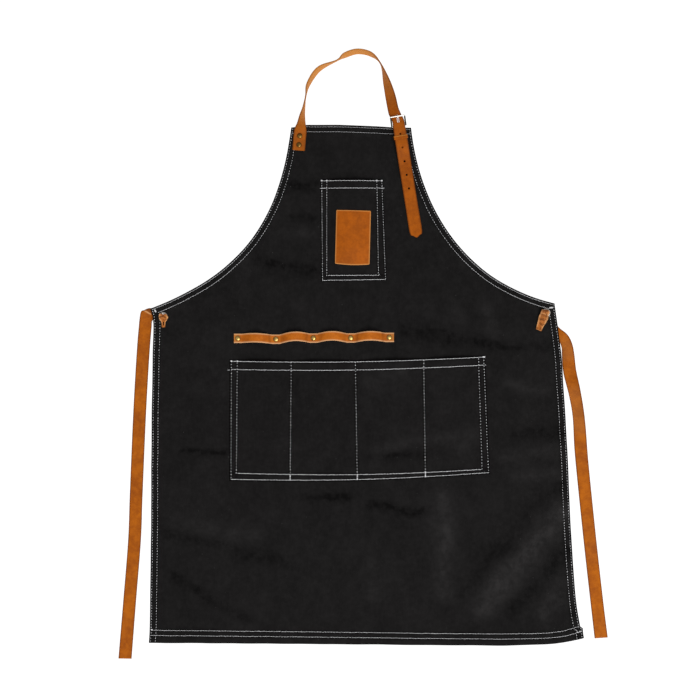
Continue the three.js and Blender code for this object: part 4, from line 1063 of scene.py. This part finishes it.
def patch():
    """A plain leather patch that follows the chest pocket's bulge, with round corners and a pressed rim."""
    half_width, half_height, corner = PATCH["width"] / 2, PATCH["height"] / 2, PATCH["corner"]
    across = near_both_ends(PATCH_NEAR, PATCH["width"], PATCH["columns"])
    up = near_both_ends(PATCH_NEAR, PATCH["height"], PATCH["rows"])
    a, b = np.meshgrid(across - half_width, up - half_height)
    rim = np.minimum(half_width - abs(a), half_height - abs(b))
    over_a = np.maximum(abs(a) - half_width + corner, 0)
    over_b = np.maximum(abs(b) - half_height + corner, 0)
    pull = np.maximum(over_a, over_b) / np.maximum(np.hypot(over_a, over_b), 1e-6)
    pull = np.where((over_a > 0) & (over_b > 0), pull, 1)
    a = np.sign(a) * (abs(a) - over_a + over_a * pull)
    b = np.sign(b) * (abs(b) - over_b + over_b * pull)
    b = b - PATCH["bow"] * np.cos(math.pi * a / PATCH["width"]) * np.clip(-b / half_height, 0, 1) ** 3
    turn = math.radians(PATCH["turn"])
    x = PATCH["x"] + a * math.cos(turn) - b * math.sin(turn)
    y = PATCH["y"] + a * math.sin(turn) + b * math.cos(turn)
    low_left, low_right = CHEST_POCKET["bottom"]
    left, right = CHEST_POCKET["top"]
    v = (y - low_left[1]) / pocket_size(CHEST_POCKET)[1]
    start = mix(low_left[0], left[0], v)
    u = (x - start) / (mix(low_right[0], right[0], v) - start)
    tuck, wall_share = rounded(rim, PATCH_EDGE)
    under = CLOTH + GAP + POCKET_CLOTH + PATCH["gap"] + pocket_bulge(CHEST_POCKET, u, v) + tuck
    raised, pressed = (
        height * dip(rim - at, width) for at, width, height in (PATCH_RIM, PATCH_BORDER)
    )
    wall = (PATCH["thick"] + raised - pressed + relief(x, y, PATCH_DENTS)) * wall_share
    marks = {"edge": 1 - smoothstep(rim, *PATCH_CUT_EDGE), "pale": 0 * rim, "flesh": 0 * rim}
    return closed_sheet(np.stack([x, y, under], axis=-1), wall, marks)


# Straps


def strap_section(width, thick, flats=14, rounds=6, edge_reach=2.4):
    """Points round a strap's section as places across and up, with each one's share of edge and flesh."""
    radius = min(0.5 * thick, 0.3 * width)
    half = width / 2 - radius
    level = np.linspace(1, -1, flats + 1)[:-1] * half
    arc = np.linspace(90, 270, rounds + 1)[:-1]
    turns = [(radius * math.cos(math.radians(d)), thick / 2 * math.sin(math.radians(d))) for d in arc]
    points = [(a, thick / 2) for a in level]
    points += [(a - half, b) for a, b in turns]
    points += [(-a, -thick / 2) for a in level]
    points += [(half - a, -b) for a, b in turns]
    points = np.array(points)
    edge = smoothstep(abs(points[:, 0]), width / 2 - edge_reach, width / 2 - 0.2 * radius)
    flesh = np.where(points[:, 1] < -0.2 * thick, 1.0, 0.0)
    return points, edge, flesh


def strap(frames, pale=None, worn=None, bend=None, edge_reach=2.4):
    """A leather strap through frames of centre, side direction, width and thickness.

    Pale and worn give each frame's paleness, painted light where the leather rolls on edge, and its worn
    edges.
    Bend gives height, paleness that is partly a painted highlight, and painted shade at a place.
    """
    last = len(frames) - 1
    pale = np.zeros(last + 1) if pale is None else pale
    worn = np.zeros(last + 1) if worn is None else worn
    rings = []
    marks = {"edge": [], "flesh": [], "pale": [], "painted_shade": []}
    for k, (centre, side, width, thick) in enumerate(frames):
        ahead = (frames[min(k + 1, last)][0] - frames[max(k - 1, 0)][0]).normalized()
        face = ahead.cross(side).normalized()
        points, edge, flesh = strap_section(width, thick, edge_reach=edge_reach)
        from_middle = abs(points[:, 0]) / (width / 2)
        # Painted shade at each point of the ring
        creases = np.zeros(len(points))
        outward = smoothstep(from_middle, WORN["from"], WORN["full"])
        paleness = np.maximum(pale[k], worn[k] * mix(WORN["middle"], 1, outward))
        edge = edge * (1 - worn[k]) * (1 - WORN["edge_lost"] * pale[k])
        ring = []
        for n, (across, up) in enumerate(points):
            place = centre + side * across + face * up
            if bend:
                height, paler, creases[n] = bend(k, across / (width / 2), place)
                place = place + face * height
                paleness[n] = max(paleness[n], paler)
            ring.append(place)
        rings.append(ring)
        marks["edge"].append(edge)
        marks["flesh"].append(flesh * (1 - WORN["flesh_lost"] * worn[k]))
        marks["pale"].append(paleness)
        marks["painted_shade"].append(creases)
    return closed_tube(rings, marks)


def down_strap(at):
    """Place at a distance down the strap from the buckle's centre."""
    slant = math.radians(BUCKLE["slant"])
    return BUCKLE["x"] + at * math.sin(slant), BUCKLE["y"] - at * math.cos(slant)


def run_length(frames):
    return length_of([step[0] for step in frames])


def neck_frames():
    """Frames of the neck strap, and how pale its leather is painted at each, as painted light."""
    table = NECK_RUN + [(*down_strap(at), height, 0, width, 0) for at, height, width in FREE_END]
    rows = smooth_rows(table, STRAP_STEPS)
    frames = []
    for k, (x, y, low, roll, width) in enumerate(rows[:, :5]):
        before, after = rows[max(k - 1, 0)], rows[min(k + 1, len(rows) - 1)]
        ahead = Vector((after[0] - before[0], after[1] - before[1])).normalized()
        angle = math.radians(max(roll, 0))
        side = Vector((-ahead.y * math.cos(angle), ahead.x * math.cos(angle), math.sin(angle)))
        height = width / 2 * math.sin(angle) + STRAP_THICK / 2 * abs(math.cos(angle))
        frames.append((Vector((x, y, max(low, 0) + height)), side, width, STRAP_THICK))
    return frames, np.clip(rows[:, 5], 0, 1)


def neck_strap(frames, pale):
    holes = [down_strap(HOLES["first"] + k * HOLES["pitch"]) for k in range(1, HOLES["count"])]
    prong_hole = slot_cutter(*down_strap(HOLES["first"]), BUCKLE["slant"], 2 * HOLES["radius"],
                             HOLES["slot_length"], 6, 20)
    return cut(strap(frames, pale), drill(holes, HOLES["radius"]), prong_hole)


def tie_frames(table):
    frames = []
    for x, y, z, turn, tilt, width, thick in smooth_rows(table, STRAP_STEPS):
        turn, tilt = math.radians(turn), math.radians(tilt)
        side = Vector((math.cos(turn) * math.cos(tilt), math.sin(turn) * math.cos(tilt), math.sin(tilt)))
        reach = width / 2 * abs(side.z) + thick / 2 * math.cos(tilt)
        frames.append((Vector((x, y, max(z, reach))), side, width, thick))
    return frames


def waist_tie(frames, seed, fold):
    """A waist tie: its short end is crumpled and worn, with painted shade in its dents, and a fold shows as a
    painted highlight on a raised ridge beside a painted shadow.
    """
    heights = np.array([step[0].z for step in frames])
    to_end = run_length(frames) - np.array([run_length(frames[:k + 1]) for k in range(len(frames))])
    worn = smoothstep(heights, *SHORT_END)
    tip = worn * (1 - smoothstep(to_end, *PALE_TIP))
    # Painted light on the parts of the tie that stand off the floor
    pale = RAISED_LIGHT["pale"] * smoothstep(heights, RAISED_LIGHT["from"], RAISED_LIGHT["full"]) * (1 - worn)
    x0, y0, x1, y1 = fold["line"]
    along = Vector((x1 - x0, y1 - y0)).normalized()

    def bend(k, across, place):
        sizes = (CRUMPLE["coarse"], CRUMPLE["fine"])
        coarse, fine = (noise.noise((place.x / size, place.y / size, seed)) for size in sizes)
        dent = coarse + CRUMPLE["fine_share"] * fine
        curl = CRUMPLE["curl"] * (across ** 2 - CRUMPLE["curl_level"])
        sunk = float(smoothstep(-dent, CRUMPLE_SHADE["from"], CRUMPLE_SHADE["full"]))
        distance = float(from_segment(place.x, place.y, x0, y0, x1, y1))
        # The fold's ridge is raised and given a painted highlight
        ridge = float(dip(distance, fold["width"]))
        beyond = smoothstep(along.x * (place.y - y0) - along.y * (place.x - x0), FOLD_SHADE["from"],
                            FOLD_SHADE["full"])
        shadow = beyond * (1 - smoothstep(distance, fold["shadow"] - FOLD_SHADE["soft"], fold["shadow"]))
        height = worn[k] * (CRUMPLE["depth"] * dent + curl) + fold["height"] * ridge
        # Painted shade in the crumpled end's dents, and painted shadow beside the fold
        painted_shade = max(CRUMPLE_SHADE["dark"] * worn[k] * sunk, FOLD_SHADE["dark"] * float(shadow))
        return height, max(tip[k], ridge), painted_shade

    return strap(frames, pale, worn, bend)


def loop_frames():
    """Frames of the tool strip, seated at its rivets and arched between them."""
    rivets = LOOP_RIVETS
    seat = CLOTH + GAP + LOOPS["thick"] / 2
    places = [(rivets[0][0] - LOOPS["left_end"], rivets[0][1], 0.0)]
    for k, (height, bow) in enumerate(ARCHES):
        span = rivets[k + 1][0] - rivets[k][0] - 2 * LOOPS["seat"]
        for share in np.linspace(0, 1, ARCH_STEPS + 1):
            swell = math.sin(math.pi * share)
            y = mix(rivets[k][1], rivets[k + 1][1], share) + bow * swell
            rise = height * max(swell, 0) ** ARCH_POWER
            places.append((rivets[k][0] + LOOPS["seat"] + share * span, y, rise))
    places.append((rivets[-1][0] + LOOPS["right_end"], rivets[-1][1], 0.0))
    up = Vector((0, 1, 0))
    return [(Vector((x, y, seat + rise)), up, LOOPS["width"], LOOPS["thick"]) for x, y, rise in places]


def tool_strip(frames):
    """The tool strip, with pale cut edges and painted shade in the dips where it bends down beside its
    rivets.
    """
    first, last = frames[0][0].x, frames[-1][0].x

    def bend(k, across, place):
        beside = min(abs(place.x - x) for x, y in LOOP_RIVETS)
        patchy = 0.5 + noise.noise((place.x / FLANK_SHADE["size_x"], place.y / FLANK_SHADE["size_y"], FLANK_SHADE["seed"]))
        flank = float(dip(beside - FLANK_SHADE["at"], FLANK_SHADE["width"])) * patchy
        end = min(place.x - first, last - place.x)
        cut_end = float(1 - smoothstep(end, *LOOP_CUT_END))
        # Dip, pale cut end, and painted shade on the flank
        return -FLANK_SHADE["depth"] * flank, cut_end, max(FLANK_SHADE["dark"] * flank, 0)

    return strap(frames, bend=bend, edge_reach=LOOP_EDGE_REACH)


# Rivets and eyelets


def rivet(place, seat):
    """A rivet that stands on the floor: flat back, post, and a domed cap with a rolled rim at its seat."""
    profile = [
        (0, 0), (RIVET["back"], 0), (RIVET["back"], RIVET["foot"]), (RIVET["post"], RIVET["foot"]),
        (RIVET["post"], seat),
    ]
    wear = [0] * len(profile)
    for out, up, worn in RIVET_CAP:
        profile.append((RIVET["cap"] * out, seat + RIVET["dome"] * up))
        wear.append(worn)
    return turned(profile, place, wear)


def eyelet(place):
    """An eyelet that clasps the edge of its hole between two round lips."""
    height = float(lift(np.array(place[0]), np.array(place[1])))
    low, high = height - GAP / 2, height + HEM_CLOTH + GAP / 2
    bore, barrel, flange, lip = (EYELET[key] for key in ("bore", "barrel", "flange", "lip"))
    middle, spread = (bore + flange) / 2, (flange - bore) / 2
    angles = np.radians(np.linspace(0, 180, 9))
    upper = [(middle + spread * math.cos(t), high + lip * math.sin(t)) for t in angles]
    lower = [(middle - spread * math.cos(t), low - lip * math.sin(t)) for t in angles]
    profile = [(barrel, low), (barrel, high), *upper, *lower, (barrel, low)]
    wear = [0, 0, *(math.sin(t) for t in angles), *(math.sin(t) for t in angles), 0]
    return turned(profile, place, wear)


# Buckle


def at_buckle(mesh, raised=Matrix.Identity(4)):
    """The mesh moved to its place from the buckle's own frame, whose -y runs down the strap."""
    slant = Matrix.Rotation(math.radians(BUCKLE["slant"]), 4, "Z")
    place = Matrix.Translation((BUCKLE["x"], BUCKLE["y"], 0)) @ slant
    bmesh.ops.transform(mesh, matrix=place @ raised, verts=mesh.verts)
    return mesh


def rounded_path(width, length, corner, steps=8):
    """Points round a rectangle with rounded corners, and the outward direction at each."""
    path = []
    for k, (a, b) in enumerate([(1, -1), (1, 1), (-1, 1), (-1, -1)]):
        middle = Vector((a * (width / 2 - corner), b * (length / 2 - corner)))
        for d in np.linspace(-90, 0, steps + 1) + 90 * k:
            out = Vector((math.cos(math.radians(d)), math.sin(math.radians(d))))
            path.append((middle + corner * out, out))
    return path


def around(centre, out, up, points):
    return [centre + out * a + up * b for a, b in points]


def round_section(radius, count=14):
    angles = np.linspace(0, 2 * math.pi, count + 1)[:-1]
    return [(radius * math.cos(t), radius * math.sin(t)) for t in angles]


def buckle_frame():
    """A round bar bent to a rounded rectangle, tilted so that its heel lies under the strap."""
    radius = BUCKLE["bar"] / 2
    width, length = BUCKLE["width"] - 2 * radius, BUCKLE["length"] - 2 * radius
    path = rounded_path(width, length, BUCKLE["corner"] - radius)
    up = Vector((0, 0, 1))
    rings = [around(place.to_3d(), out.to_3d(), up, round_section(radius)) for place, out in path]
    # Bright worn level bars and dull sides: partly wear, partly a painted reflection and shade
    wear = [[BUCKLE_WEAR_AND_SHADE["gain"] * abs(out.y) - BUCKLE_WEAR_AND_SHADE["start"]] * len(rings[0]) for place, out in path]
    tilt = Matrix.Rotation(math.radians(BUCKLE["tilt"]), 4, "X")
    raised = Matrix.Translation((0, 0, BUCKLE["z"])) @ tilt
    return at_buckle(closed_tube(rings, {"wear": wear}, looped=True), raised)


def heel_bar():
    """Distance down the strap and height of the frame's lower bar."""
    down, tilt = (BUCKLE["length"] - BUCKLE["bar"]) / 2, math.radians(BUCKLE["tilt"])
    return down * math.cos(tilt), BUCKLE["z"] - down * math.sin(tilt)


def around_heel(radius, degrees):
    at, height = heel_bar()
    return at + radius * math.cos(math.radians(degrees)), height + radius * math.sin(math.radians(degrees))


HEEL_CLEARANCE = BUCKLE["bar"] * 0.6 + GAP


def buckle_prong():
    """A round prong that hooks round the heel bar, passes up through the strap and rests on the top bar."""
    hook = [around_heel(HEEL_CLEARANCE + PRONG_RADIUS, degrees) for degrees in PRONG_HOOK]
    path = smooth_rows(hook + PRONG_SHANK, 6)
    rings = []
    for k, (at, height) in enumerate(path):
        before, after = path[max(k - 1, 0)], path[min(k + 1, len(path) - 1)]
        ahead = Vector((0, before[0] - after[0], after[1] - before[1])).normalized()
        side = Vector((1, 0, 0))
        taper = 1 - PRONG_TAPER["by"] * smoothstep(k / len(path), PRONG_TAPER["from"], 1.0)
        section = round_section(PRONG_RADIUS * taper, PRONG_SIDES)
        rings.append(around(Vector((0, -at, height)), side, side.cross(ahead), section))
    return at_buckle(closed_tube(rings, {"wear": np.full((len(rings), PRONG_SIDES), PRONG_WEAR)}))


def tab_frames():
    """The tab lies on the hem, turns round the heel bar and comes back over itself."""
    turn = HEEL_CLEARANCE + TAB["thick"] / 2
    heel, height = heel_bar()
    low = height - turn
    high = low + TAB["thick"] + GAP
    path = [(TAB["lower_end"], low), (heel + TAB["slot_length"] / 2, low)]
    path += [around_heel(turn, degrees) for degrees in range(270, 90, -15)]
    path += [
        (heel + TAB["slot_length"] * 0.5, mix(high, height + turn, 0.75)),
        (heel + TAB["slot_length"] * 1.2, mix(high, height + turn, 0.25)),
        (heel + TAB["slot_length"] * 1.8, high),
        (TAB["upper_end"], high),
    ]
    side = Vector((1, 0, 0))
    return [(Vector((0, -at, z)), side, TAB["width"], TAB["thick"]) for at, z in path], high


def buckle_tab(frames):
    slot = slot_cutter(0, -heel_bar()[0], 0, TAB["slot"], TAB["slot_length"], -5, 30)
    return at_buckle(cut(strap(frames), slot))


def strap_keeper():
    """A narrow leather band that loops round the tab and the strap."""
    height = KEEPER["high"] - KEEPER["low"]
    wall = KEEPER["wall"]
    path = rounded_path(KEEPER["inner"] + wall, height + wall, 1.5 * wall)
    section, edge, flesh = strap_section(KEEPER["band"], wall, flats=4, rounds=4)
    middle = Vector((0, -KEEPER["at"], (KEEPER["low"] + KEEPER["high"]) / 2))
    along = Vector((0, 1, 0))
    rings = []
    for place, out in path:
        centre = middle + Vector((place.x, 0, place.y))
        rings.append(around(centre, along, Vector((out.x, 0, out.y)), section))
    half = KEEPER["band"] / 2
    upper = smoothstep(section[:, 0], half - KEEPER["pale_from"], half - KEEPER["pale_full"])
    shares = {"edge": 0 * edge, "flesh": 0 * flesh, "pale": upper}
    marks = {name: [share] * len(rings) for name, share in shares.items()}
    return at_buckle(closed_tube(rings, marks, looped=True))


# Stitching


def unit_stitch():
    """Corners and faces of one stitch along x, one long, wide and high, its ends dipping into the cloth."""
    strand = bmesh.new()
    bmesh.ops.create_uvsphere(strand, u_segments=STITCH["sides"], v_segments=STITCH["rings"], radius=0.5)
    bmesh.ops.rotate(strand, verts=strand.verts, matrix=Matrix.Rotation(math.radians(90), 3, "Y"))
    for vert in strand.verts:
        vert.co.z -= STITCH["bow"] * vert.co.x ** 2
    strand.verts.index_update()
    corners = np.array([vert.co for vert in strand.verts])
    faces = [[vert.index for vert in face.verts] for face in strand.faces]
    strand.free()
    return corners, faces


def on_cloth(surfaces, x, y):
    """Highest place and its normal on some surfaces, straight below a point."""
    best = None
    for surface in surfaces:
        place, normal = surface.ray_cast(Vector((x, y, ABOVE)), Vector((0, 0, -1)))[:2]
        if place is not None and (best is None or place.z > best[0].z):
            best = (place, normal)
    return best


class Sewing:
    """Stitches of one piece of cloth, kept as places until they are joined into one mesh."""

    def __init__(self, surfaces, thread, seed):
        self.surfaces = surfaces
        self.thread = thread
        self.chance = random.Random(seed)
        self.stitches = []

    def stitch(self, x, y, ahead, length, width=STITCH["width"], tone=STITCH["tone"]):
        found = on_cloth(self.surfaces, x, y)
        if found is None:
            return
        place, normal = found
        along = (ahead - normal * ahead.dot(normal)).normalized()
        sideways = normal.cross(along)
        axes = np.array([along * length, sideways * width, normal * STITCH["height"]])
        middle = np.array(place + normal * STITCH["sink"])
        self.stitches.append((axes, middle, tone))

    def row(self, line, solid=False, dim=1.0):
        """Stitches along a line of places, end to end where it is solid or level."""
        line = np.asarray(line, float)[:, :2]
        total = length_of(line)
        count = max(int(total / self.thread["pitch"]), 1)
        middles = (np.arange(count) + 0.5) * total / count
        places = resampled(line, middles)
        before, after = (resampled(line, np.clip(middles + step, 0, total)) for step in (-AHEAD, AHEAD))
        sizes = list(zip(self.thread["level"], self.thread["upright"]))
        for (x, y), (dx, dy) in zip(places, after - before):
            swing = self.chance.uniform(-STRAY["swing"], STRAY["swing"])
            ahead = Vector((dx - dy * swing, dy + dx * swing, 0)).normalized()
            across = self.chance.uniform(-STRAY["aside"], STRAY["aside"])
            upright = 0 if solid else float(smoothstep(abs(ahead.y), *UPRIGHT))
            length, width = (mix(level, steep, upright) for level, steep in sizes)
            length *= self.chance.uniform(*STRAY["length"])
            level_tone = self.chance.uniform(*STRAY["level_tone"])
            tone = mix(level_tone, self.chance.uniform(*STRAY["tone"]), upright)
            self.stitch(x - ahead.y * across, y + ahead.x * across, ahead, length, width, dim * tone)

    def tack(self, x, y, turn, length):
        """A bar tack: short threads laid close together."""
        along = Vector((math.cos(math.radians(turn)), math.sin(math.radians(turn)), 0))
        across = Vector((-along.y, along.x, 0))
        for k in range(TACK["threads"]):
            offset = (k - (TACK["threads"] - 1) / 2) * TACK["pitch"]
            for half in (-TACK["half_at"], TACK["half_at"]):
                stray = self.chance.uniform(-TACK["stray"], TACK["stray"])
                middle = Vector((x, y, 0)) + across * offset + along * (half * length + stray)
                self.stitch(middle.x, middle.y, along, length * TACK["half_length"])

    def mesh(self, name):
        corners, faces = unit_stitch()
        verts = np.concatenate([corners @ axes + middle for axes, middle, tone in self.stitches])
        starts = [k * len(corners) for k in range(len(self.stitches))]
        joined = [[start + index for index in face] for start in starts for face in faces]
        data = bpy.data.meshes.new(name)
        data.from_pydata((verts * MM).tolist(), [], joined)
        tones = np.repeat([tone for axes, middle, tone in self.stitches], len(corners))
        data.attributes.new("tone", "FLOAT", "POINT").data.foreach_set("value", tones)
        return data


def hem_stitching(surface, places):
    sewing = Sewing([surface], HEM_THREAD, 21)
    rows, columns = places.shape[:2]
    for inset in SIDE_ROWS:
        k = SIDE_NEAR.index(inset)
        sewing.row(places[2:-2, k])
        sewing.row(places[2:-2, columns - 1 - k])
    for inset in BOTTOM_ROWS:
        sewing.row(places[BOTTOM_NEAR.index(inset), 2:-2])
    for inset in TOP_ROWS:
        sewing.row(places[rows - 1 - TOP_NEAR.index(inset), 2:-2], dim=TOP_DIM)
    for x, y, turn, length in HEM_TACKS:
        sewing.tack(x, y, turn, length)
    slope = Vector((1, CORNER_STITCH["rise"], 0))
    for x, y in CORNER_STITCHES:
        sewing.stitch(x, y, slope, *(CORNER_STITCH[key] for key in ("length", "width", "tone")))
    return sewing.mesh("hem_stitching")


def pocket_line(pocket_table, points):
    """A line on a pocket through points given as distances from its left and bottom edges."""
    width, height = pocket_size(pocket_table)
    line = []
    for (a, b), (c, d) in zip(points, points[1:]):
        for share in np.linspace(0, 1, 40):
            line.append(pocket_place(pocket_table, mix(a, c, share) / width, mix(b, d, share) / height))
    return line


def pocket_stitching(pocket_table, rows, thread, surfaces, seed):
    """The stitch rows of a pocket and its bar tacks."""
    sewing = Sewing(surfaces, thread, seed)
    width, height = pocket_size(pocket_table)
    outer, top, second = rows["outer"], height - rows["top"], height - rows["second"]
    left_top, left_low = rows["left"]
    right_top, right_low = rows["right"]
    low_left, low_right = rows["bottom"]
    over_left, over_right = rows["over"]
    lines = [
        [(outer, height), (outer, outer), (width - outer, outer), (width - outer, height)],
        [(left_top, top), (left_low, low_left), (width - right_low, low_right), (width - right_top, top)],
        [(ROW_END, top), (width - ROW_END, top)],
        [(-over_left, second - OVER_SLOPE * over_left), (over_left, second), (width + over_right, second)],
    ]
    for line in lines:
        sewing.row(pocket_line(pocket_table, line))
    for seam_top, seam_low in pocket_table["seams"]:
        upper, lower = seam_top * width, seam_low * width
        sewing.row(pocket_line(pocket_table, [(upper, height - ROW_END), (lower, outer)]))
        for aside in (-SEAM_FOOT["aside"], SEAM_FOOT["aside"]):
            foot = [(lower + aside, outer + SEAM_FOOT["above"]), (lower + aside, SEAM_FOOT["low"])]
            sewing.row(pocket_line(pocket_table, foot), solid=True)
    for at, length in rows["tacks"]:
        across = at if at > 0 else width + at
        x, y = pocket_place(pocket_table, across / width, 1 - rows["tacks_below"] / height)
        sewing.tack(x, y, rows["tack_turn"], length)
    return sewing


# Assembly


def sewn_pocket(name, table, rows, thread, seed, panel_surface):
    """A pocket's cloth and its stitching."""
    cloth = pocket(table, rows)
    surface = BVHTree.FromBMesh(cloth)
    made = piece(f"{name}_cloth", cloth, DENIM, [name])
    sewing = pocket_stitching(table, rows, thread, [surface, panel_surface], seed)
    stitching = f"{name}_stitching"
    return made, ride(stitching, sewing.mesh(stitching), THREAD)


def lay_out():
    cloth, places = panel()
    panel_surface = BVHTree.FromBMesh(cloth)
    panel_cloth = piece("panel_cloth", cloth, DENIM, ["apron_panel"])
    hem = ride("hem_stitching", hem_stitching(panel_surface, places), THREAD)

    chest_cloth, chest_thread = sewn_pocket(
        "chest_pocket", CHEST_POCKET, CHEST_ROWS, CHEST_THREAD, 22, panel_surface)
    lower_cloth, lower_thread = sewn_pocket(
        "lower_pocket", LOWER_POCKET, LOWER_ROWS, LOWER_THREAD, 23, panel_surface)

    patch_leather = piece("patch_leather", patch(), PATCH_LEATHER, ["leather_patch"])

    strip_frames = loop_frames()
    strip_mesh = tool_strip(strip_frames)
    strip = piece("tool_loop_leather", strip_mesh, LOOP_LEATHER, ["tool_loop_strap"])
    seat = CLOTH + GAP + LOOPS["thick"] + GAP / 2
    for k, place in enumerate(LOOP_RIVETS, 1):
        piece(f"loop_rivet_cap_{k}", rivet(place, seat), BRASS, [f"loop_rivet_{k}"])

    frames, pale = neck_frames()
    neck = piece("neck_strap_leather", neck_strap(frames, pale), NECK_LEATHER, ["neck_strap"])
    seat = NECK_RUN[0][2] + STRAP_THICK + GAP
    for k, place in enumerate(NECK_RIVETS, 1):
        piece(f"neck_rivet_cap_{k}", rivet(place, seat), OLD_BRASS, [f"neck_rivet_{k}"])

    piece("buckle_bar", buckle_frame(), BUCKLE_NICKEL, ["buckle_frame"])
    piece("buckle_pin", buckle_prong(), BUCKLE_NICKEL, ["buckle_prong"])
    tab, tab_height = tab_frames()
    tab_leather = piece("buckle_tab_leather", buckle_tab(tab), NECK_LEATHER, ["buckle_tab"])
    seat = tab_height + TAB["thick"] / 2 + GAP / 2
    piece("tab_rivet_cap", rivet(down_strap(TAB["rivet_at"]), seat), BRASS, ["tab_rivet"])
    piece("keeper_leather", strap_keeper(), NECK_LEATHER, ["strap_keeper"])

    piece("eyelet_ring_left", eyelet(EYELET_LEFT), NICKEL, ["eyelet_left"])
    piece("eyelet_ring_right", eyelet(EYELET_RIGHT), NICKEL, ["eyelet_right"])
    slit = slot_cutter(*(TIE_SLIT[key] for key in ("x", "y", "turn", "width", "length", "low", "high")))
    for name, table, seed, fold, cutters in (
        ("left_tie", LEFT_TIE, 16.0, LEFT_FOLD, [slit]),
        ("right_tie", RIGHT_TIE, 17.0, RIGHT_FOLD, []),
    ):
        tie = tie_frames(table)
        mesh = cut(waist_tie(tie, seed, fold), *cutters)
        made = piece(f"{name}_leather", mesh, TIE_LEATHER, [name])
        run_length(tie) * MM

    run_length(strip_frames) * MM
    run_length(frames) * MM
    run_length(tab) * MM


def studio():
    """Pale floor, white surroundings, a broad soft light from the lower right, a camera straight above."""
    floor_mesh = bmesh.new()
    parts = FLOOR["parts"]
    bmesh.ops.create_grid(floor_mesh, x_segments=parts, y_segments=parts, size=FLOOR["half"])
    bmesh.ops.translate(floor_mesh, verts=floor_mesh.verts, vec=(0, 0, -FLOOR["below"]))
    data = bpy.data.meshes.new("floor")
    floor_mesh.to_mesh(data)
    floor_mesh.free()
    data.materials.append(pale_floor())
    floor = bpy.data.objects.new("floor", data)
    bpy.context.scene.collection.objects.link(floor)

    world = bpy.data.worlds.new("studio")
    world.use_nodes = True
    background = world.node_tree.nodes["Background"]
    background.inputs["Color"].default_value = (1, 1, 1, 1)
    background.inputs["Strength"].default_value = SURROUNDINGS
    bpy.context.scene.world = world

    lamp = bpy.data.lights.new("soft_light", "AREA")
    lamp.shape = "RECTANGLE"
    lamp.size = LAMP["size"]
    lamp.size_y = LAMP["size"]
    lamp.energy = LAMP["power"]
    light = bpy.data.objects.new("soft_light", lamp)
    light.location = LAMP["place"]
    light.rotation_euler = (Vector((0, 0, 0)) - light.location).to_track_quat("-Z", "Y").to_euler()
    bpy.context.scene.collection.objects.link(light)

    lens = bpy.data.cameras.new("camera")
    lens.lens = VIEW["lens"]
    lens.sensor_width = VIEW["sensor"]
    camera = bpy.data.objects.new("camera", lens)
    height = VIEW["across"] * VIEW["lens"] / VIEW["sensor"]
    camera.location = (VIEW["x"] * MM, VIEW["y"] * MM, height * MM)
    bpy.context.scene.collection.objects.link(camera)
    bpy.context.scene.camera = camera
    bpy.context.scene.view_settings.view_transform = "Standard"


lay_out()
studio()
